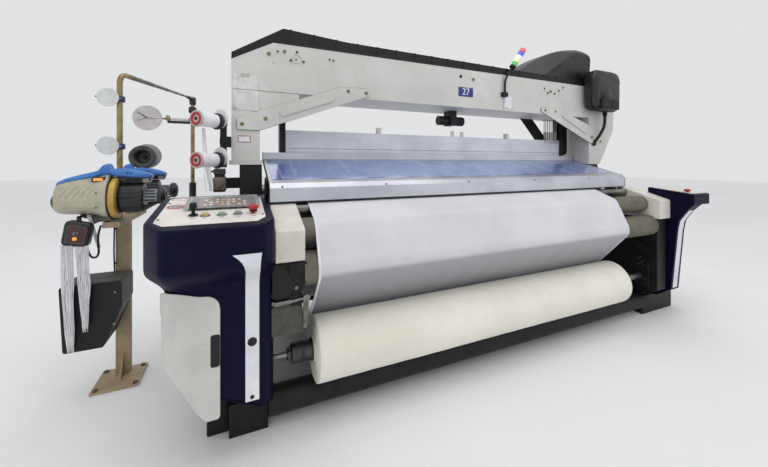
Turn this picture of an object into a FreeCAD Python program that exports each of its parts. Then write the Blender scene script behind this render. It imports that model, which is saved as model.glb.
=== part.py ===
# Shuttleless power loom with an overhead harness girder and a free-standing weft feeder stand.
# Millimetres. +X runs along the rollers, -Y is the cloth side, +Z is up; the floor is Z = 0.
import FreeCAD, Part
import math
import os
import re
import Sketcher
from FreeCAD import Rotation, Vector

SIZES = {
    # overall frame
    "loom_x": 295.0, "inner_w": 2930.0, "frame_t": 120.0, "web_t": 24.0, "rim": 34.0,
    "front_l": -680.0, "front_r": -740.0, "frame_back": 640.0, "frame_top": 985.0, "front_top": 890.0,
    "post_z": 1240.0, "foot_y": -623.0, "foot_len": 250.0, "foot_h": 150.0, "fit": 0.05, "gap": 0.3,
    "journal": 15.0, "seat": 55.0,
    # cloth path
    "cloth_t": 1.0, "cloth_margin": 605.0, "fell_y": -190.0, "fell_z": 1035.0,
    "breast_y": -490.0, "breast_z": 1000.0, "breast_r": 35.0,
    "press_y": -620.0, "press_z": 915.0, "press_r": 65.0,
    "take_y": -680.0, "take_z": 750.0, "take_r": 80.0,
    "roll_y": -630.0, "roll_z": 330.0, "roll_r": 155.0, "hub_r": 46.0, "tube_r": 60.0,
    "tie_y": -600.0, "tie_z": 110.0, "tie_r": 66.0,
    # warp side
    "beam_y": 430.0, "beam_z": 520.0, "flange_r": 380.0, "warp_r": 330.0, "beam_journal": 35.0,
    "rest_y": 845.0, "rest_z": 1000.0, "rest_r": 60.0, "arm_y": 590.0, "arm_z": 930.0, "arm_t": 40.0,
    # harness and sley
    "sley_y": -40.0, "sley_z": 640.0, "sley_r": 40.0, "heald_margin": 320.0, "heald_h": 520.0,
    "heald_y": 15.0, "heald_t": 10.0, "heald_pitch": 16.0, "heald_low": 880.0, "lift": 70.0,
    # girder
    "girder_y": -180.0, "girder_d": 350.0,
    "girder_z": 1680.0, "girder_h": 295.0, "plate": 8.0, "post_w": 154.0,
    # breast cover
    "cover_f": -505.0, "cover_z": 1050.0, "cover_b": -18.0, "lip_z": 1318.0,
    # consoles
    "con_front": -870.0, "con_back": -340.0, "col_front": -780.0,
    "con_low": 215.0, "con_mid": 725.0, "con_box": 945.0, "con_z": 1000.0, "tilt": 7.9, "wall": 8.0,
    "flap_y": 485.0,
    "slim_rise": 0.1167, "slim_front": -915.0,
    # weft feeder stand
    "stand_y": 132.0, "rail_z": 900.0, "feed_z": 1060.0, "feed_y": 0.0,
    "feed_pitch": 400.0, "core_r": 30.0, "drum_r": 77.0, "ring_r": 112.0,
    "leg_r": 15.0, "gate_z": 1780.0, "leg_y": 152.0, "leg_b_y": 870.0,
}
DERIVED = {
    "in_l": "loom_x - inner_w / 2", "in_r": "loom_x + inner_w / 2",
    "out_l": "in_l - frame_t", "out_r": "in_r + frame_t",
    "cloth_w": "inner_w - cloth_margin", "heald_w": "inner_w - heald_margin",
    "cloth_r": "cloth_x + cloth_w", "girder_b": "girder_y + girder_d", "girder_t": "girder_z + girder_h",
    "heald_l": "loom_x - heald_w / 2", "heald_r": "loom_x + heald_w / 2",
    "arm_l": "in_l + 6", "cover_r": "in_r - 8", "cloth_x": "in_l + 210",
    "girder_l": "out_l - 45", "girder_r": "out_r + 245", "con_l": "in_l - 465", "con_r": "in_l + 14",
    "slim_l": "out_r + 25", "slim_r": "out_r + 305", "slim_col": "out_r + 135",
    "stand_x": "con_l - 285", "leg_x": "stand_x - 20", "leg_b_x": "stand_x + 280",
    "feed_tip": "stand_x + 240", "feed_tail": "feed_tip - 505",
}

doc = FreeCAD.newDocument("PowerLoom")
sheet = doc.addObject("Spreadsheet::Sheet", "Dims")
for row, (word, size) in enumerate(SIZES.items(), 1):
    sheet.set(f"A{row}", word)
    sheet.set(f"B{row}", str(size))
    sheet.setAlias(f"B{row}", word)
doc.recompute()
NODES = {}


def bound(text):
    """An expression in sheet names, with the derived names written out."""
    text = str(text)
    while any(re.search(rf"\b{name}\b", text) for name in DERIVED):
        text = re.sub(r"\b[a-z]\w*\b", lambda hit: f"({DERIVED[hit[0]]})" if hit[0] in DERIVED else hit[0], text)
    return re.sub(r"\b[a-z]\w*\b", lambda hit: "Dims." + hit[0] if hit[0] in SIZES else hit[0], text)


def value(text):
    return float(sheet.evalExpression(bound(text)))


def joined(items, fuse=True):
    """One fused solid, or a group of separate solids."""
    result = doc.addObject("Part::MultiFuse" if fuse else "Part::Compound", "Group")
    setattr(result, "Shapes" if fuse else "Links", list(items))
    return result


def keep(label, *items, fuse=True):
    """Names one sub-part: a single object, a fused solid or a group of separate solids."""
    result = joined(items, fuse) if len(items) > 1 else items[0]
    result.Label = label
    NODES[label] = result
    return result


def cut(base, *tools):
    for tool in tools:
        result = doc.addObject("Part::Cut", "Cut")
        result.Base = base
        result.Tool = tool
        base = result
    return base


def block(x, y, z):
    """A box from (low, high) pairs."""
    item = doc.addObject("Part::Box", "Block")
    for side, place, (low, high) in zip(("Length", "Width", "Height"), "xyz", (x, y, z)):
        item.setExpression(side, bound(f"({high}) - ({low})"))
        item.setExpression("Placement.Base." + place, bound(low))
    return item


def rod(axis, centre, radius, low, high):
    """A cylinder along an axis; centre gives the other two coordinates in X, Y, Z order."""
    item = doc.addObject("Part::Cylinder", "Rod")
    turn = {"x": Rotation(Vector(0, 1, 0), 90), "y": Rotation(Vector(1, 0, 0), -90), "z": Rotation()}
    item.Placement.Rotation = turn[axis]
    item.setExpression("Radius", bound(radius))
    item.setExpression("Height", bound(f"({high}) - ({low})"))
    places = iter(centre)
    for letter in "xyz":
        item.setExpression("Placement.Base." + letter, bound(low if letter == axis else next(places)))
    return item


def outline(body, role, offset, points):
    """A closed sketch of straight lines on one of the body's origin planes."""
    plane = [one for one in body.Origin.OriginFeatures if one.Role == role][0]
    sketch = body.newObject("Sketcher::SketchObject", "Outline")
    sketch.AttachmentSupport = [(plane, "")]
    sketch.MapMode = "FlatFace"
    sketch.setExpression("AttachmentOffset.Base.z", bound(offset))
    spots = [(value(a), value(b)) for a, b in points]
    count = len(spots)
    for here, after in zip(spots, spots[1:] + spots[:1]):
        sketch.addGeometry(Part.LineSegment(Vector(*here, 0), Vector(*after, 0)), False)
    for index in range(count):
        sketch.addConstraint(Sketcher.Constraint("Coincident", index, 2, (index + 1) % count, 1))
    for index, (place, spot) in enumerate(zip(points, spots)):
        for kind, text, size in zip(("DistanceX", "DistanceY"), place, spot):
            rule = sketch.addConstraint(Sketcher.Constraint(kind, -1, 1, index, 1, size))
            sketch.setExpression(f"Constraints[{rule}]", bound(text))
    return sketch


def prism(axis, points, low, high, rounds=()):
    """A padded outline. rounds holds (radius, corner numbers) for edges along the axis."""
    body = doc.addObject("PartDesign::Body", "Prism")
    role = {"x": "YZ_Plane", "y": "XZ_Plane", "z": "XY_Plane"}[axis]
    start = f"-({high})" if axis == "y" else low
    sketch = outline(body, role, start, points)
    pad = body.newObject("PartDesign::Pad", "Pad")
    pad.Profile = sketch
    pad.setExpression("Length", bound(f"({high}) - ({low})"))
    for radius, corners in rounds:
        doc.recompute()
        base = body.Tip
        names = []
        for number, edge in enumerate(base.Shape.Edges, 1):
            ends = [flat(axis, vertex.Point) for vertex in edge.Vertexes]
            if len(ends) == 2 and math.dist(*ends) < 0.01:
                if any(math.dist(ends[0], [value(text) for text in points[c]]) < 0.01 for c in corners):
                    names.append(f"Edge{number}")
        fillet = body.newObject("PartDesign::Fillet", "Round")
        fillet.Base = (base, names)
        fillet.setExpression("Radius", bound(radius))
    return body


def flat(axis, point):
    return [coordinate for letter, coordinate in zip("xyz", point) if letter != axis]


def turned(points, base=("0", "0", "0"), turn=Rotation()):
    """A solid of revolution about its local X axis: points are (along, radius)."""
    body = doc.addObject("PartDesign::Body", "Turned")
    sketch = outline(body, "XY_Plane", "0", points)
    round_feature = body.newObject("PartDesign::Revolution", "Revolve")
    round_feature.Profile = sketch
    round_feature.ReferenceAxis = (sketch, ["H_Axis"])
    round_feature.Angle = 360
    body.Placement.Rotation = turn
    for letter, text in zip("xyz", base):
        body.setExpression("Placement.Base." + letter, bound(text))
    return body


def lofted(lower, upper, low, high):
    """A ruled solid between two plan outlines."""
    body = doc.addObject("PartDesign::Body", "Loft")
    first = outline(body, "XY_Plane", low, lower)
    second = outline(body, "XY_Plane", high, upper)
    loft = body.newObject("PartDesign::AdditiveLoft", "Shell")
    loft.Profile = first
    loft.Sections = [second]
    loft.Ruled = True
    return body


def tilted(item, x, y, z):
    """Seats an item built about its own origin on the sloping top of the left console."""
    item.Placement.Rotation = Rotation(Vector(1, 0, 0), SIZES["tilt"])
    item.setExpression("Placement.Base.x", bound(x))
    item.setExpression("Placement.Base.y", bound(f"con_front + ({y}) * cos(tilt) - ({z}) * sin(tilt)"))
    item.setExpression("Placement.Base.z", bound(f"con_z + ({y}) * sin(tilt) + ({z}) * cos(tilt)"))
    return item


def local_block(x, y, z):
    """A box held in its own frame, for tilted()."""
    return prism("z", [(x[0], y[0]), (x[1], y[0]), (x[1], y[1]), (x[0], y[1])], *z)


def bent_tube(radius, points, bend=None):
    """A round bar along straight runs joined by tangent arcs."""
    spots = [Vector(*(value(text) for text in point)) for point in points]
    edges = []
    start = spots[0]
    for before, here, after in zip(spots, spots[1:], spots[2:]):
        back = (before - here).normalize()
        ahead = (after - here).normalize()
        half_turn = (math.pi - back.getAngle(ahead)) / 2
        reach = 0.45 * min((before - here).Length, (after - here).Length)
        if bend:
            reach = min(reach, value(bend) * math.tan(half_turn))
        arc_radius = reach / math.tan(half_turn)
        print(f"bend radius {arc_radius:.0f}")
        enter = here + back * reach
        leave = here + ahead * reach
        middle = (back + ahead).normalize()
        depth = math.hypot(arc_radius, reach) - arc_radius
        edges.append(Part.LineSegment(start, enter).toShape())
        edges.append(Part.Arc(enter, here + middle * depth, leave).toShape())
        start = leave
    edges.append(Part.LineSegment(start, spots[-1]).toShape())
    path = Part.Wire(edges)
    direction = spots[1] - spots[0]
    circle = Part.Wire(Part.makeCircle(value(radius), spots[0], direction))
    item = doc.addObject("Part::Feature", "BentTube")
    item.Shape = path.makePipeShell([circle], True, True)
    return item


def strip(stations, thickness, low, high):
    """A sheet that runs past rollers: (y, z, radius, side), side 1 right of the path, -1 left, 0 a point."""
    half = value(thickness) / 2
    faces = []
    for shift in (-half, half):
        places = []
        for y, z, radius, side in stations:
            offset = side * (value(radius) + value("gap") + half) + shift
            places.append((Vector(0, value(y), value(z)), offset))
        runs = [tangent(*here, *after) for here, after in zip(places, places[1:])]
        edges = [Part.LineSegment(*runs[0]).toShape()]
        for (centre, offset), before, after in zip(places[1:], runs, runs[1:]):
            middle = ((before[1] + after[0]) / 2 - centre).normalize() * abs(offset) + centre
            edges.append(Part.Arc(before[1], middle, after[0]).toShape())
            edges.append(Part.LineSegment(*after).toShape())
        faces.append((edges, runs[0][0], runs[-1][1]))
    (right, right_start, right_end), (left, left_start, left_end) = faces
    ends = [Part.LineSegment(right_start, left_start).toShape(), Part.LineSegment(right_end, left_end).toShape()]
    wire = Part.Wire(Part.__sortEdges__(right + left + ends))
    item = doc.addObject("Part::Feature", "Strip")
    item.Shape = Part.Face(wire).extrude(Vector(value(f"({high}) - ({low})"), 0, 0))
    item.Placement = FreeCAD.Placement(Vector(value(low), 0, 0), Rotation())
    return item


def tangent(start, start_offset, end, end_offset):
    """The run between two circles in the YZ plane; an offset is positive with its circle on the right."""
    span = end - start
    ratio = (start_offset - end_offset) / span.Length
    along = Vector(span).normalize()
    across = Vector(0, -along.z, along.y)
    normal = along * ratio + across * math.sqrt(1 - ratio ** 2)
    return start + normal * start_offset, end + normal * end_offset


# --- side frames, cross members -----------------------------------------------------------------
def side_frame(front, outer, inner, ahead):
    """A cast side frame: an outline with a rim around two sunk panels. ahead is the inward direction."""
    low, high = (outer, inner) if ahead > 0 else (inner, outer)
    shape = [
        ("foot_y", "0"), ("foot_y + foot_len", "0"), ("foot_y + foot_len + 60", "90"),
        ("frame_back - foot_len - 60", "90"), ("frame_back - foot_len", "0"), ("frame_back", "0"),
        ("frame_back", "frame_top"), ("girder_b + 70", "frame_top"), ("girder_b", "post_z"),
        ("girder_y", "post_z"), ("girder_y - 40", "frame_top"), (f"{front} + 200", "frame_top"),
        (front, "front_top"), (front, "230"), ("foot_y", "foot_h")]
    frame = prism("x", shape, low, high)
    web_low, web_high = (low, f"({high}) - web_t") if ahead > 0 else (f"({low}) + web_t", high)
    lower = prism("x", [(f"{front} + 150", "160"), ("120", "160"), ("120", "260"), (f"{front} + 150", "260")],
                  web_low, web_high)
    panel = prism("x", [("-420", "330"), ("-110", "330"), ("-110", "920"), ("-420", "920")], web_low, web_high)
    return cut(frame, lower, panel)


def frame_seats(side, skip_front):
    """Blind seats in a side frame's inner face for every shaft that turns in it."""
    shafts = [("roll_y", "roll_z", "journal"), ("sley_y", "sley_z", "journal * 1.4"),
              ("beam_y", "beam_z", "beam_journal"), ("arm_y", "arm_z", "journal")]
    if not skip_front:
        shafts += [("take_y", "take_z", "journal"), ("press_y", "press_z", "journal")]
    span = ("in_l - seat", "in_l + 1") if side < 0 else ("in_r - 1", "in_r + seat")
    return [rod("x", (y, z), f"{radius} + fit", *span) for y, z, radius in shafts]


left_frame = cut(side_frame("front_l", "out_l", "in_l", 1), *frame_seats(-1, True))
left_foot = block(("out_l - 49", "in_l"), ("foot_y", "foot_y + 150"), ("0", "foot_h"))
left_pocket = block(("in_l - 100", "in_l - 30"), ("foot_y - 1", "foot_y + 50"), ("45", "foot_h - 50"))
keep("side_frame_left", left_frame, cut(left_foot, left_pocket))
right_frame = cut(side_frame("front_r", "out_r", "in_r", -1), *frame_seats(1, False))
right_foot = block(("in_r", "slim_r - 10"), ("foot_y - 13", "foot_y + 140"), ("0", "foot_h - 3"))
keep("side_frame_right", right_frame, right_foot)

tie_bore = rod("x", ("tie_y", "tie_z"), "tie_r - 8", "in_l - 1", "in_r + 1")
keep("front_tie_tube", cut(rod("x", ("tie_y", "tie_z"), "tie_r", "in_l", "in_r"), tie_bore))
rear_tie = block(("in_l", "in_r"), ("frame_back - 80", "frame_back"), ("80", "150"))
keep("rear_tie_beam", cut(rear_tie, block(("in_l - 1", "in_r + 1"), ("frame_back - 72", "frame_back - 8"),
                                          ("88", "142"))))
breast_box = block(("in_l", "in_r"), ("-430", "-350"), ("880", "980"))
breast_hole = block(("in_l - 1", "in_r + 1"), ("-422", "-358"), ("888", "972"))
breast_legs = [block((f"{x}", f"{x} + 30"), ("-430", "-350"), ("980", "cover_z")) for x in ("in_l + 20", "in_r - 40")]
keep("breast_beam", cut(breast_box, breast_hole), *breast_legs)

# --- breast cover: a closed front box that runs into a sloping shield with an upright lip --------
cover_outer = [
    ("cover_f", "cover_z"), ("cover_f + 155", "cover_z"), ("cover_f + 155", "cover_z + 116"),
    ("cover_b", "lip_z - 56"), ("cover_b", "lip_z"), ("cover_b - 12", "lip_z"), ("cover_b - 12", "lip_z - 42"),
    ("cover_f + 27", "cover_z + 96"), ("cover_f + 5", "cover_z + 70")]
cover_inner = [
    ("cover_f + 8", "cover_z + 8"), ("cover_f + 147", "cover_z + 8"), ("cover_f + 147", "cover_z + 112"),
    ("cover_f + 30", "cover_z + 86"), ("cover_f + 13", "cover_z + 68")]
cover_skin = cut(prism("x", cover_outer, "in_l + 24", "cover_r - 6"),
                 prism("x", cover_inner, "in_l + 23", "cover_r - 5"))
cover_ends = [prism("x", cover_outer, low, high)
              for low, high in (("in_l + 18", "in_l + 24"), ("cover_r - 6", "cover_r"))]
keep("breast_cover", cover_skin, *cover_ends, fuse=False)

# --- cream bearing covers -------------------------------------------------------------------------
cap = [("-762", "806"), ("-440", "806"), ("-440", "cover_z - 8"), ("-490", "cover_z - 12"), ("-762", "951")]
left_seats = [rod("x", (y, z), "journal + fit", "in_l + 147 - seat", "in_l + 148")
              for y, z in (("press_y", "press_z"), ("breast_y", "breast_z"))]
left_cap = cut(prism("x", cap, "in_l + 20", "in_l + 147", [("14", (0, 3, 4))]), *left_seats)
left_pad = block(("in_l", "in_l + 20"), ("-650", "-480"), ("830", "frame_top - 10"))
keep("cover_left", left_cap, left_pad)
cap_hollow = [("-754", "805"), ("-439", "805"), ("-439", "cover_z - 17"), ("-488", "cover_z - 20"), ("-754", "944")]
right_holes = [rod("x", (y, z), radius, "in_r - 9", "in_r + 1")
               for y, z, radius in (("press_y", "press_z", "journal + 3"), ("breast_y", "breast_z", "journal + fit"))]
right_cap = cut(prism("x", cap, "in_r - 8", "out_r + 18", [("12", (3, 4))]),
                prism("x", cap_hollow, "in_r", "out_r + 10"), *right_holes)
right_lug = block(("out_r", "out_r + 10"), ("-620", "-480"), ("830", "870"))
keep("cover_right", right_cap, right_lug)

# --- rollers ---------------------------------------------------------------------------------------
def roller(label, y, z, radius, low, high, low_seat, high_seat):
    body = rod("x", (y, z), radius, low, high)
    ends = rod("x", (y, z), "journal", low_seat, high_seat)
    keep(label, body, ends)


roller("take_up_roller", "take_y", "take_z", "take_r", "in_l + 148", "in_r - 15", "in_l + 86", "in_r + seat - 5")
roller("press_roller", "press_y", "press_z", "press_r", "in_l + 148", "in_r - 15", "in_l + 97", "in_r + seat - 5")
roller("breast_roller", "breast_y", "breast_z", "breast_r", "in_l + 148", "in_r - 15", "in_l + 97", "in_r - 1")
roll_tube = turned([("in_l - seat + 5", "0"), ("in_l - seat + 5", "journal"), ("in_l + 150", "journal"),
                    ("in_l + 150", "hub_r"), ("cloth_x - 8", "hub_r"), ("cloth_x - 8", "tube_r"),
                    ("cloth_r + 8", "tube_r"), ("cloth_r + 8", "30"), ("in_r - 40", "30"), ("in_r - 40", "journal"),
                    ("in_r + seat - 5", "journal"), ("in_r + seat - 5", "0")], ("0", "roll_y", "roll_z"))
wound = turned([("cloth_x", "tube_r"), ("cloth_x", "roll_r"), ("cloth_r", "roll_r"), ("cloth_r", "tube_r")],
               ("0", "roll_y", "roll_z"))
keep("cloth_roll", roll_tube, wound, fuse=False)

# --- warp beam, back rest ---------------------------------------------------------------------------
beam_core = turned([("in_l - seat + 5", "0"), ("in_l - seat + 5", "beam_journal"), ("cloth_x - 45", "beam_journal"),
                    ("cloth_x - 45", "flange_r"), ("cloth_x - 25", "flange_r"), ("cloth_x - 25", "90"),
                    ("cloth_r + 25", "90"), ("cloth_r + 25", "flange_r"), ("cloth_r + 45", "flange_r"),
                    ("cloth_r + 45", "beam_journal"), ("in_r + seat - 5", "beam_journal"), ("in_r + seat - 5", "0")],
                   ("0", "beam_y", "beam_z"))
beam_yarn = turned([("cloth_x - 25", "90"), ("cloth_x - 25", "warp_r"), ("cloth_r + 25", "warp_r"),
                    ("cloth_r + 25", "90")], ("0", "beam_y", "beam_z"))
keep("warp_beam", beam_core, beam_yarn, fuse=False)


def rest_arm(low, high, pin_low, pin_high):
    bar = prism("x", [("arm_y - 30", "arm_z - 40"), ("rest_y", "rest_z - 68"), ("rest_y + 70", "rest_z - 45"),
                      ("rest_y + 70", "rest_z + 40"), ("rest_y", "rest_z + 68"), ("arm_y - 30", "arm_z + 40")],
                low, high, [("25", (0, 5)), ("22", (2, 3))])
    pin = rod("x", ("arm_y", "arm_z"), "journal", pin_low, pin_high)
    return cut(bar, rod("x", ("rest_y", "rest_z"), "journal + fit", f"{low} - 1", f"{high} + 1")), pin


keep("back_rest_arms", *rest_arm("arm_l", "arm_l + arm_t", "in_l - seat + 5", "arm_l"),
     *rest_arm("in_r - 6 - arm_t", "in_r - 6", "in_r - 6", "in_r + seat - 5"),
     block(("arm_l + arm_t", "in_r - 6 - arm_t"), ("arm_y - 30", "arm_y + 30"), ("arm_z - 30", "arm_z + 30")))
roller("back_rest_roller", "rest_y", "rest_z", "rest_r", "arm_l + arm_t + 3", "in_r - 9 - arm_t",
       "arm_l + 2", "in_r - 8")

# --- sheets of cloth and warp ---------------------------------------------------------------------
keep("cloth_sheet", strip(
    [("fell_y", "fell_z", "0 - gap - cloth_t / 2", 0), ("breast_y", "breast_z", "breast_r", -1),
     ("press_y", "press_z", "press_r", -1), ("take_y", "take_z", "take_r", -1), ("roll_y", "roll_z", "roll_r", 1)],
    "cloth_t", "cloth_x", "cloth_r"))
keep("warp_sheet", strip(
    [("beam_y", "beam_z", "warp_r", -1), ("rest_y", "rest_z", "rest_r", -1), ("fell_y", "fell_z", "0", 0)],
    "cloth_t", "cloth_x", "cloth_r"))

# --- sley with its reed -----------------------------------------------------------------------------
sley_shaft = rod("x", ("sley_y", "sley_z"), "sley_r", "in_l + 2", "in_r - 2")
sley_ends = rod("x", ("sley_y", "sley_z"), "journal * 1.4", "in_l - seat + 5", "in_r + seat - 5")
swords = [block((f"{x} - 15", f"{x} + 15"), ("sley_y - 30", "sley_y + 20"), ("sley_z + 20", "900"))
          for x in ("heald_l + 55", "heald_l + 885", "heald_r - 885", "heald_r - 55")]
sley_beam = block(("heald_l", "heald_r"), ("sley_y - 60", "sley_y + 10"), ("900", "960"))
reed_frame = block(("heald_l + 10", "heald_r - 10"), ("sley_y - 35", "sley_y - 20"), ("960", "1110"))
reed_window = block(("heald_l + 30", "heald_r - 30"), ("sley_y - 36", "sley_y - 19"), ("985", "1085"))
keep("sley", sley_shaft, sley_ends, *swords, sley_beam, cut(reed_frame, reed_window))

# --- heald frames: open aluminium rectangles with guide blocks on the top rail ---------------------
for number in range(4):
    near = f"heald_y + {number} * heald_pitch"
    low = "heald_low + lift" if number % 2 == 0 else "heald_low"
    depth = (near, f"{near} + heald_t")
    ring = block(("heald_l", "heald_r"), depth, (low, f"{low} + heald_h"))
    window = block(("heald_l + 30", "heald_r - 30"), (f"{near} - 1", f"{near} + heald_t + 1"),
                   (f"{low} + 60", f"{low} + heald_h - 60"))
    studs = [block((f"loom_x + {x} - 12", f"loom_x + {x} + 12"), depth, (f"{low} + heald_h", f"{low} + heald_h + 45"))
             for x in (-620, 40 + 60 * number, 640)]
    keep(f"heald_frame_{number + 1}", cut(ring, window), *studs)

# --- girder over the loom -----------------------------------------------------------------------------
girder_side = [
    ("girder_l", "girder_z"), ("girder_r", "girder_z"), ("girder_r", "girder_t - 40"),
    ("girder_r - 40", "girder_t"), ("girder_l + 230", "girder_t"), ("girder_l", "girder_t - 125")]
girder_room = [
    ("girder_l + plate", "girder_z + plate"), ("girder_r - plate", "girder_z + plate"),
    ("girder_r - plate", "girder_t + 20"), ("girder_l + plate", "girder_t + 20")]
girder_box = cut(prism("y", girder_side, "girder_y", "girder_b"),
                 prism("y", girder_room, "girder_y + plate", "girder_b - plate"))
girder_view = rod("y", ("girder_l + 369", "girder_t - 80"), "27", "girder_y - 1", "girder_y + plate + 1")
screws = [(-1130, 1905, 9), (-1040, 1930, 9), (-966, 1935, 6), (-1004, 1880, 6), (-925, 1880, 6),
          (390, 1905, 11), (1240, 1885, 12), (1205, 1868, 8), (1290, 1870, 8), (1345, 1900, 9), (1400, 1935, 9),
          (-1080, 1925, 6), (-760, 1915, 6), (-735, 1912, 6)]
heads = [rod("y", (f"girder_l + {x + 1335}" if x < 295 else f"girder_r + {x - 2125}", f"girder_z + {z - 1680}"), f"{r}",
             "girder_y - 5", "girder_y") for x, z, r in screws]
keep("girder", cut(girder_box, girder_view), *heads)
lid = [
    ("girder_l", "girder_t - 124"), ("girder_l + 230", "girder_t + 1"), ("girder_r - 40", "girder_t + 1"),
    ("girder_r - 330", "girder_t + 46"), ("girder_l + 700", "girder_t + 72"), ("girder_l + 290", "girder_t + 98"),
    ("girder_l", "girder_t - 84")]
lid_body = prism("y", lid, "girder_y + 6", "girder_b - 6", [("18", (4, 5))])
lid_hollow = prism("y", [(x, f"{z} - 7") for x, z in lid], "girder_y + 14", "girder_b - 14")
keep("girder_lid", cut(lid_body, lid_hollow))


def post(shape, room):
    body = cut(prism("y", shape, "girder_y", "girder_b"),
               prism("y", room, "girder_y + plate", "girder_b - plate"))
    return body


left_post = post(
    [("girder_l", "post_z"), ("girder_l + post_w", "post_z"), ("girder_l + post_w", "girder_z"),
     ("girder_l", "girder_z")],
    [("girder_l + plate", "post_z - 1"), ("girder_l + post_w - plate", "post_z - 1"),
     ("girder_l + post_w - plate", "girder_z + 1"), ("girder_l + plate", "girder_z + 1")])
left_flange = block(("girder_l - 12", "girder_l + post_w + 12"), ("girder_y - 12", "girder_y"), ("post_z", "post_z + 26"))
keep("post_left", left_post, left_flange)
right_post = post(
    [("in_r - 2", "post_z"), ("in_r + post_w", "post_z"), ("girder_r - 5", "girder_z - 105"), ("girder_r", "girder_z"),
     ("in_r - 2", "girder_z")],
    [("in_r + 6", "post_z - 1"), ("in_r + post_w - 12", "post_z - 1"), ("girder_r - 15", "girder_z - 108"),
     ("girder_r - 8", "girder_z + 1"), ("in_r + 6", "girder_z + 1")])
keep("post_right", right_post)


def gusset_x(side, x):
    """A place along the loom, measured from its middle at the full width and kept at that distance from the frame."""
    return f"in_r + {x - 1465}" if side > 0 else f"in_l + {1465 - x}"


for side, name in ((-1, "left"), (1, "right")):
    corners = [(-1595, 1500), (-1470, 1450), (-770, 1725), (-930, 1750)]
    shape = [(gusset_x(side, -x), f"girder_z + {z - 1680}") for x, z in corners]
    plate = prism("y", shape, "girder_y - 6", "girder_y")
    rib = [(-1440, 1502), (-1434, 1484), (-1000, 1652), (-1006, 1670)]
    shape = [(gusset_x(side, -x), f"girder_z + {z - 1680}") for x, z in rib]
    bolts = [rod("y", (gusset_x(side, x), f"girder_z + {z - 1680}"), "10", "girder_y - 13", "girder_y - 6")
             for x, z in ((1540, 1492), (1470, 1476), (960, 1722), (860, 1722))]
    keep(f"gusset_{name}", plate, prism("y", shape, "girder_y - 10", "girder_y - 6"), *bolts)

guides = [block((x, f"{x} + 36"), ("heald_y - 15", "heald_y + 3 * heald_pitch + 26"), ("heald_low + 60", "girder_z"))
          for x in ("heald_l - gap - 36", "heald_r + gap")]
hanger = block(("loom_x", "loom_x + 60"), ("heald_y - 30", "heald_y + 70"), ("girder_z - 120", "girder_z"))
hanger_drum = rod("x", ("heald_y + 20", "girder_z - 80"), "38", "loom_x - 90", "loom_x + 150")
keep("heald_guides", *guides, cut(hanger, rod("x", ("heald_y + 20", "girder_z - 80"), "38", "loom_x - 1", "loom_x + 61")),
     hanger_drum, fuse=False)

hood = [
    ("girder_r - 1230", "girder_t"), ("girder_r - 330", "girder_t"), ("girder_r - 295", "girder_t + 190"), ("girder_r - 310", "girder_t + 268"),
    ("girder_r - 507", "girder_t + 360"), ("girder_r - 565", "girder_t + 352"), ("girder_r - 1230", "girder_t + 40")]
hood_skin = prism("y", hood, "girder_y + 20", "girder_b - 20", [("30", (3, 4, 5))])
hood_room = prism("y", [("girder_r - 1125", "girder_t + 5"), ("girder_r - 345", "girder_t + 5"), ("girder_r - 313", "girder_t + 188"),
                        ("girder_r - 325", "girder_t + 255"), ("girder_r - 509", "girder_t + 344"), ("girder_r - 555", "girder_t + 338"),
                        ("girder_r - 1125", "girder_t + 78")], "girder_y + 30", "girder_b - 30")
ribs = [prism("y", [(f"girder_r - 1125 + {65 * k}", f"girder_t + {20 + 55 * k}"), (f"girder_r - 335 + {4 * k}", f"girder_t + {20 + 55 * k}"),
                    (f"girder_r - 335 + {4 * k}", f"girder_t + {44 + 55 * k}"), (f"girder_r - 1105 + {65 * k}", f"girder_t + {44 + 55 * k}")],
              f"girder_y + {4 + 4 * k}", "girder_y + 20") for k in range(1, 4)]
lid_gap = prism("y", [
    ("girder_l", "girder_t - 200"), ("girder_r", "girder_t - 200"), ("girder_r - 40", "girder_t + 1.3"),
    ("girder_r - 330", "girder_t + 46.3"), ("girder_l + 700", "girder_t + 72.3"), ("girder_l + 290", "girder_t + 98.3"),
    ("girder_l", "girder_t - 83.7")], "girder_y - 30", "girder_b + 30")
keep("hood", cut(hood_skin, hood_room, lid_gap), *[cut(rib, lid_gap) for rib in ribs])
motor = [("girder_r - 485", "girder_z + 50"), ("girder_r - 105", "girder_z + 50"), ("girder_r - 105", "girder_z + 425"),
         ("girder_r - 485", "girder_z + 425")]
motor_box = prism("y", motor, "girder_y - 150", "girder_y - 4", [("60", (0, 1, 2, 3))])
motor_neck = block(("girder_r - 385", "girder_r - 205"), ("girder_y - 4", "girder_y"), ("girder_z + 80", "girder_z + 280"))
motor_gland = rod("z", ("girder_r - 225", "girder_y - 60"), "20", "girder_z + 20", "girder_z + 50")
keep("harness_motor", motor_box, motor_neck, motor_gland)
keep("motor_conduit", bent_tube("13", [
    ("girder_r - 225", "girder_y - 60", "girder_z + 20"), ("girder_r - 225", "girder_y - 60", "girder_z - 70"),
    ("girder_r - 265", "girder_y - 56", "girder_z - 135"), ("girder_r - 303", "girder_y - 40", "girder_z - 200"),
    ("girder_r - 303", "girder_y - 10", "girder_z - 232")]))

# --- signal lamp ------------------------------------------------------------------------------------
lamp_foot = block(("loom_x + 375", "loom_x + 430"), ("girder_y - 30", "girder_y"), ("girder_z + 110", "girder_z + 150"))
lamp_stem = bent_tube("9", [("loom_x + 402", "girder_y - 20", "girder_z + 149"),
                            ("loom_x + 402", "girder_y - 20", "girder_z + 250"),
                            ("loom_x + 480", "girder_y - 20", "girder_z + 357")])
lamp_turn = Rotation(Vector(0, 1, 0), -54)
lamp = turned([("0", "0"), ("0", "16"), ("12", "26"), ("212", "26"), ("222", "18"), ("222", "0")],
              ("loom_x + 475", "girder_y - 20", "girder_z + 350"), lamp_turn)
keep("signal_lamp", lamp_foot, lamp_stem, lamp, fuse=True)

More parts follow.
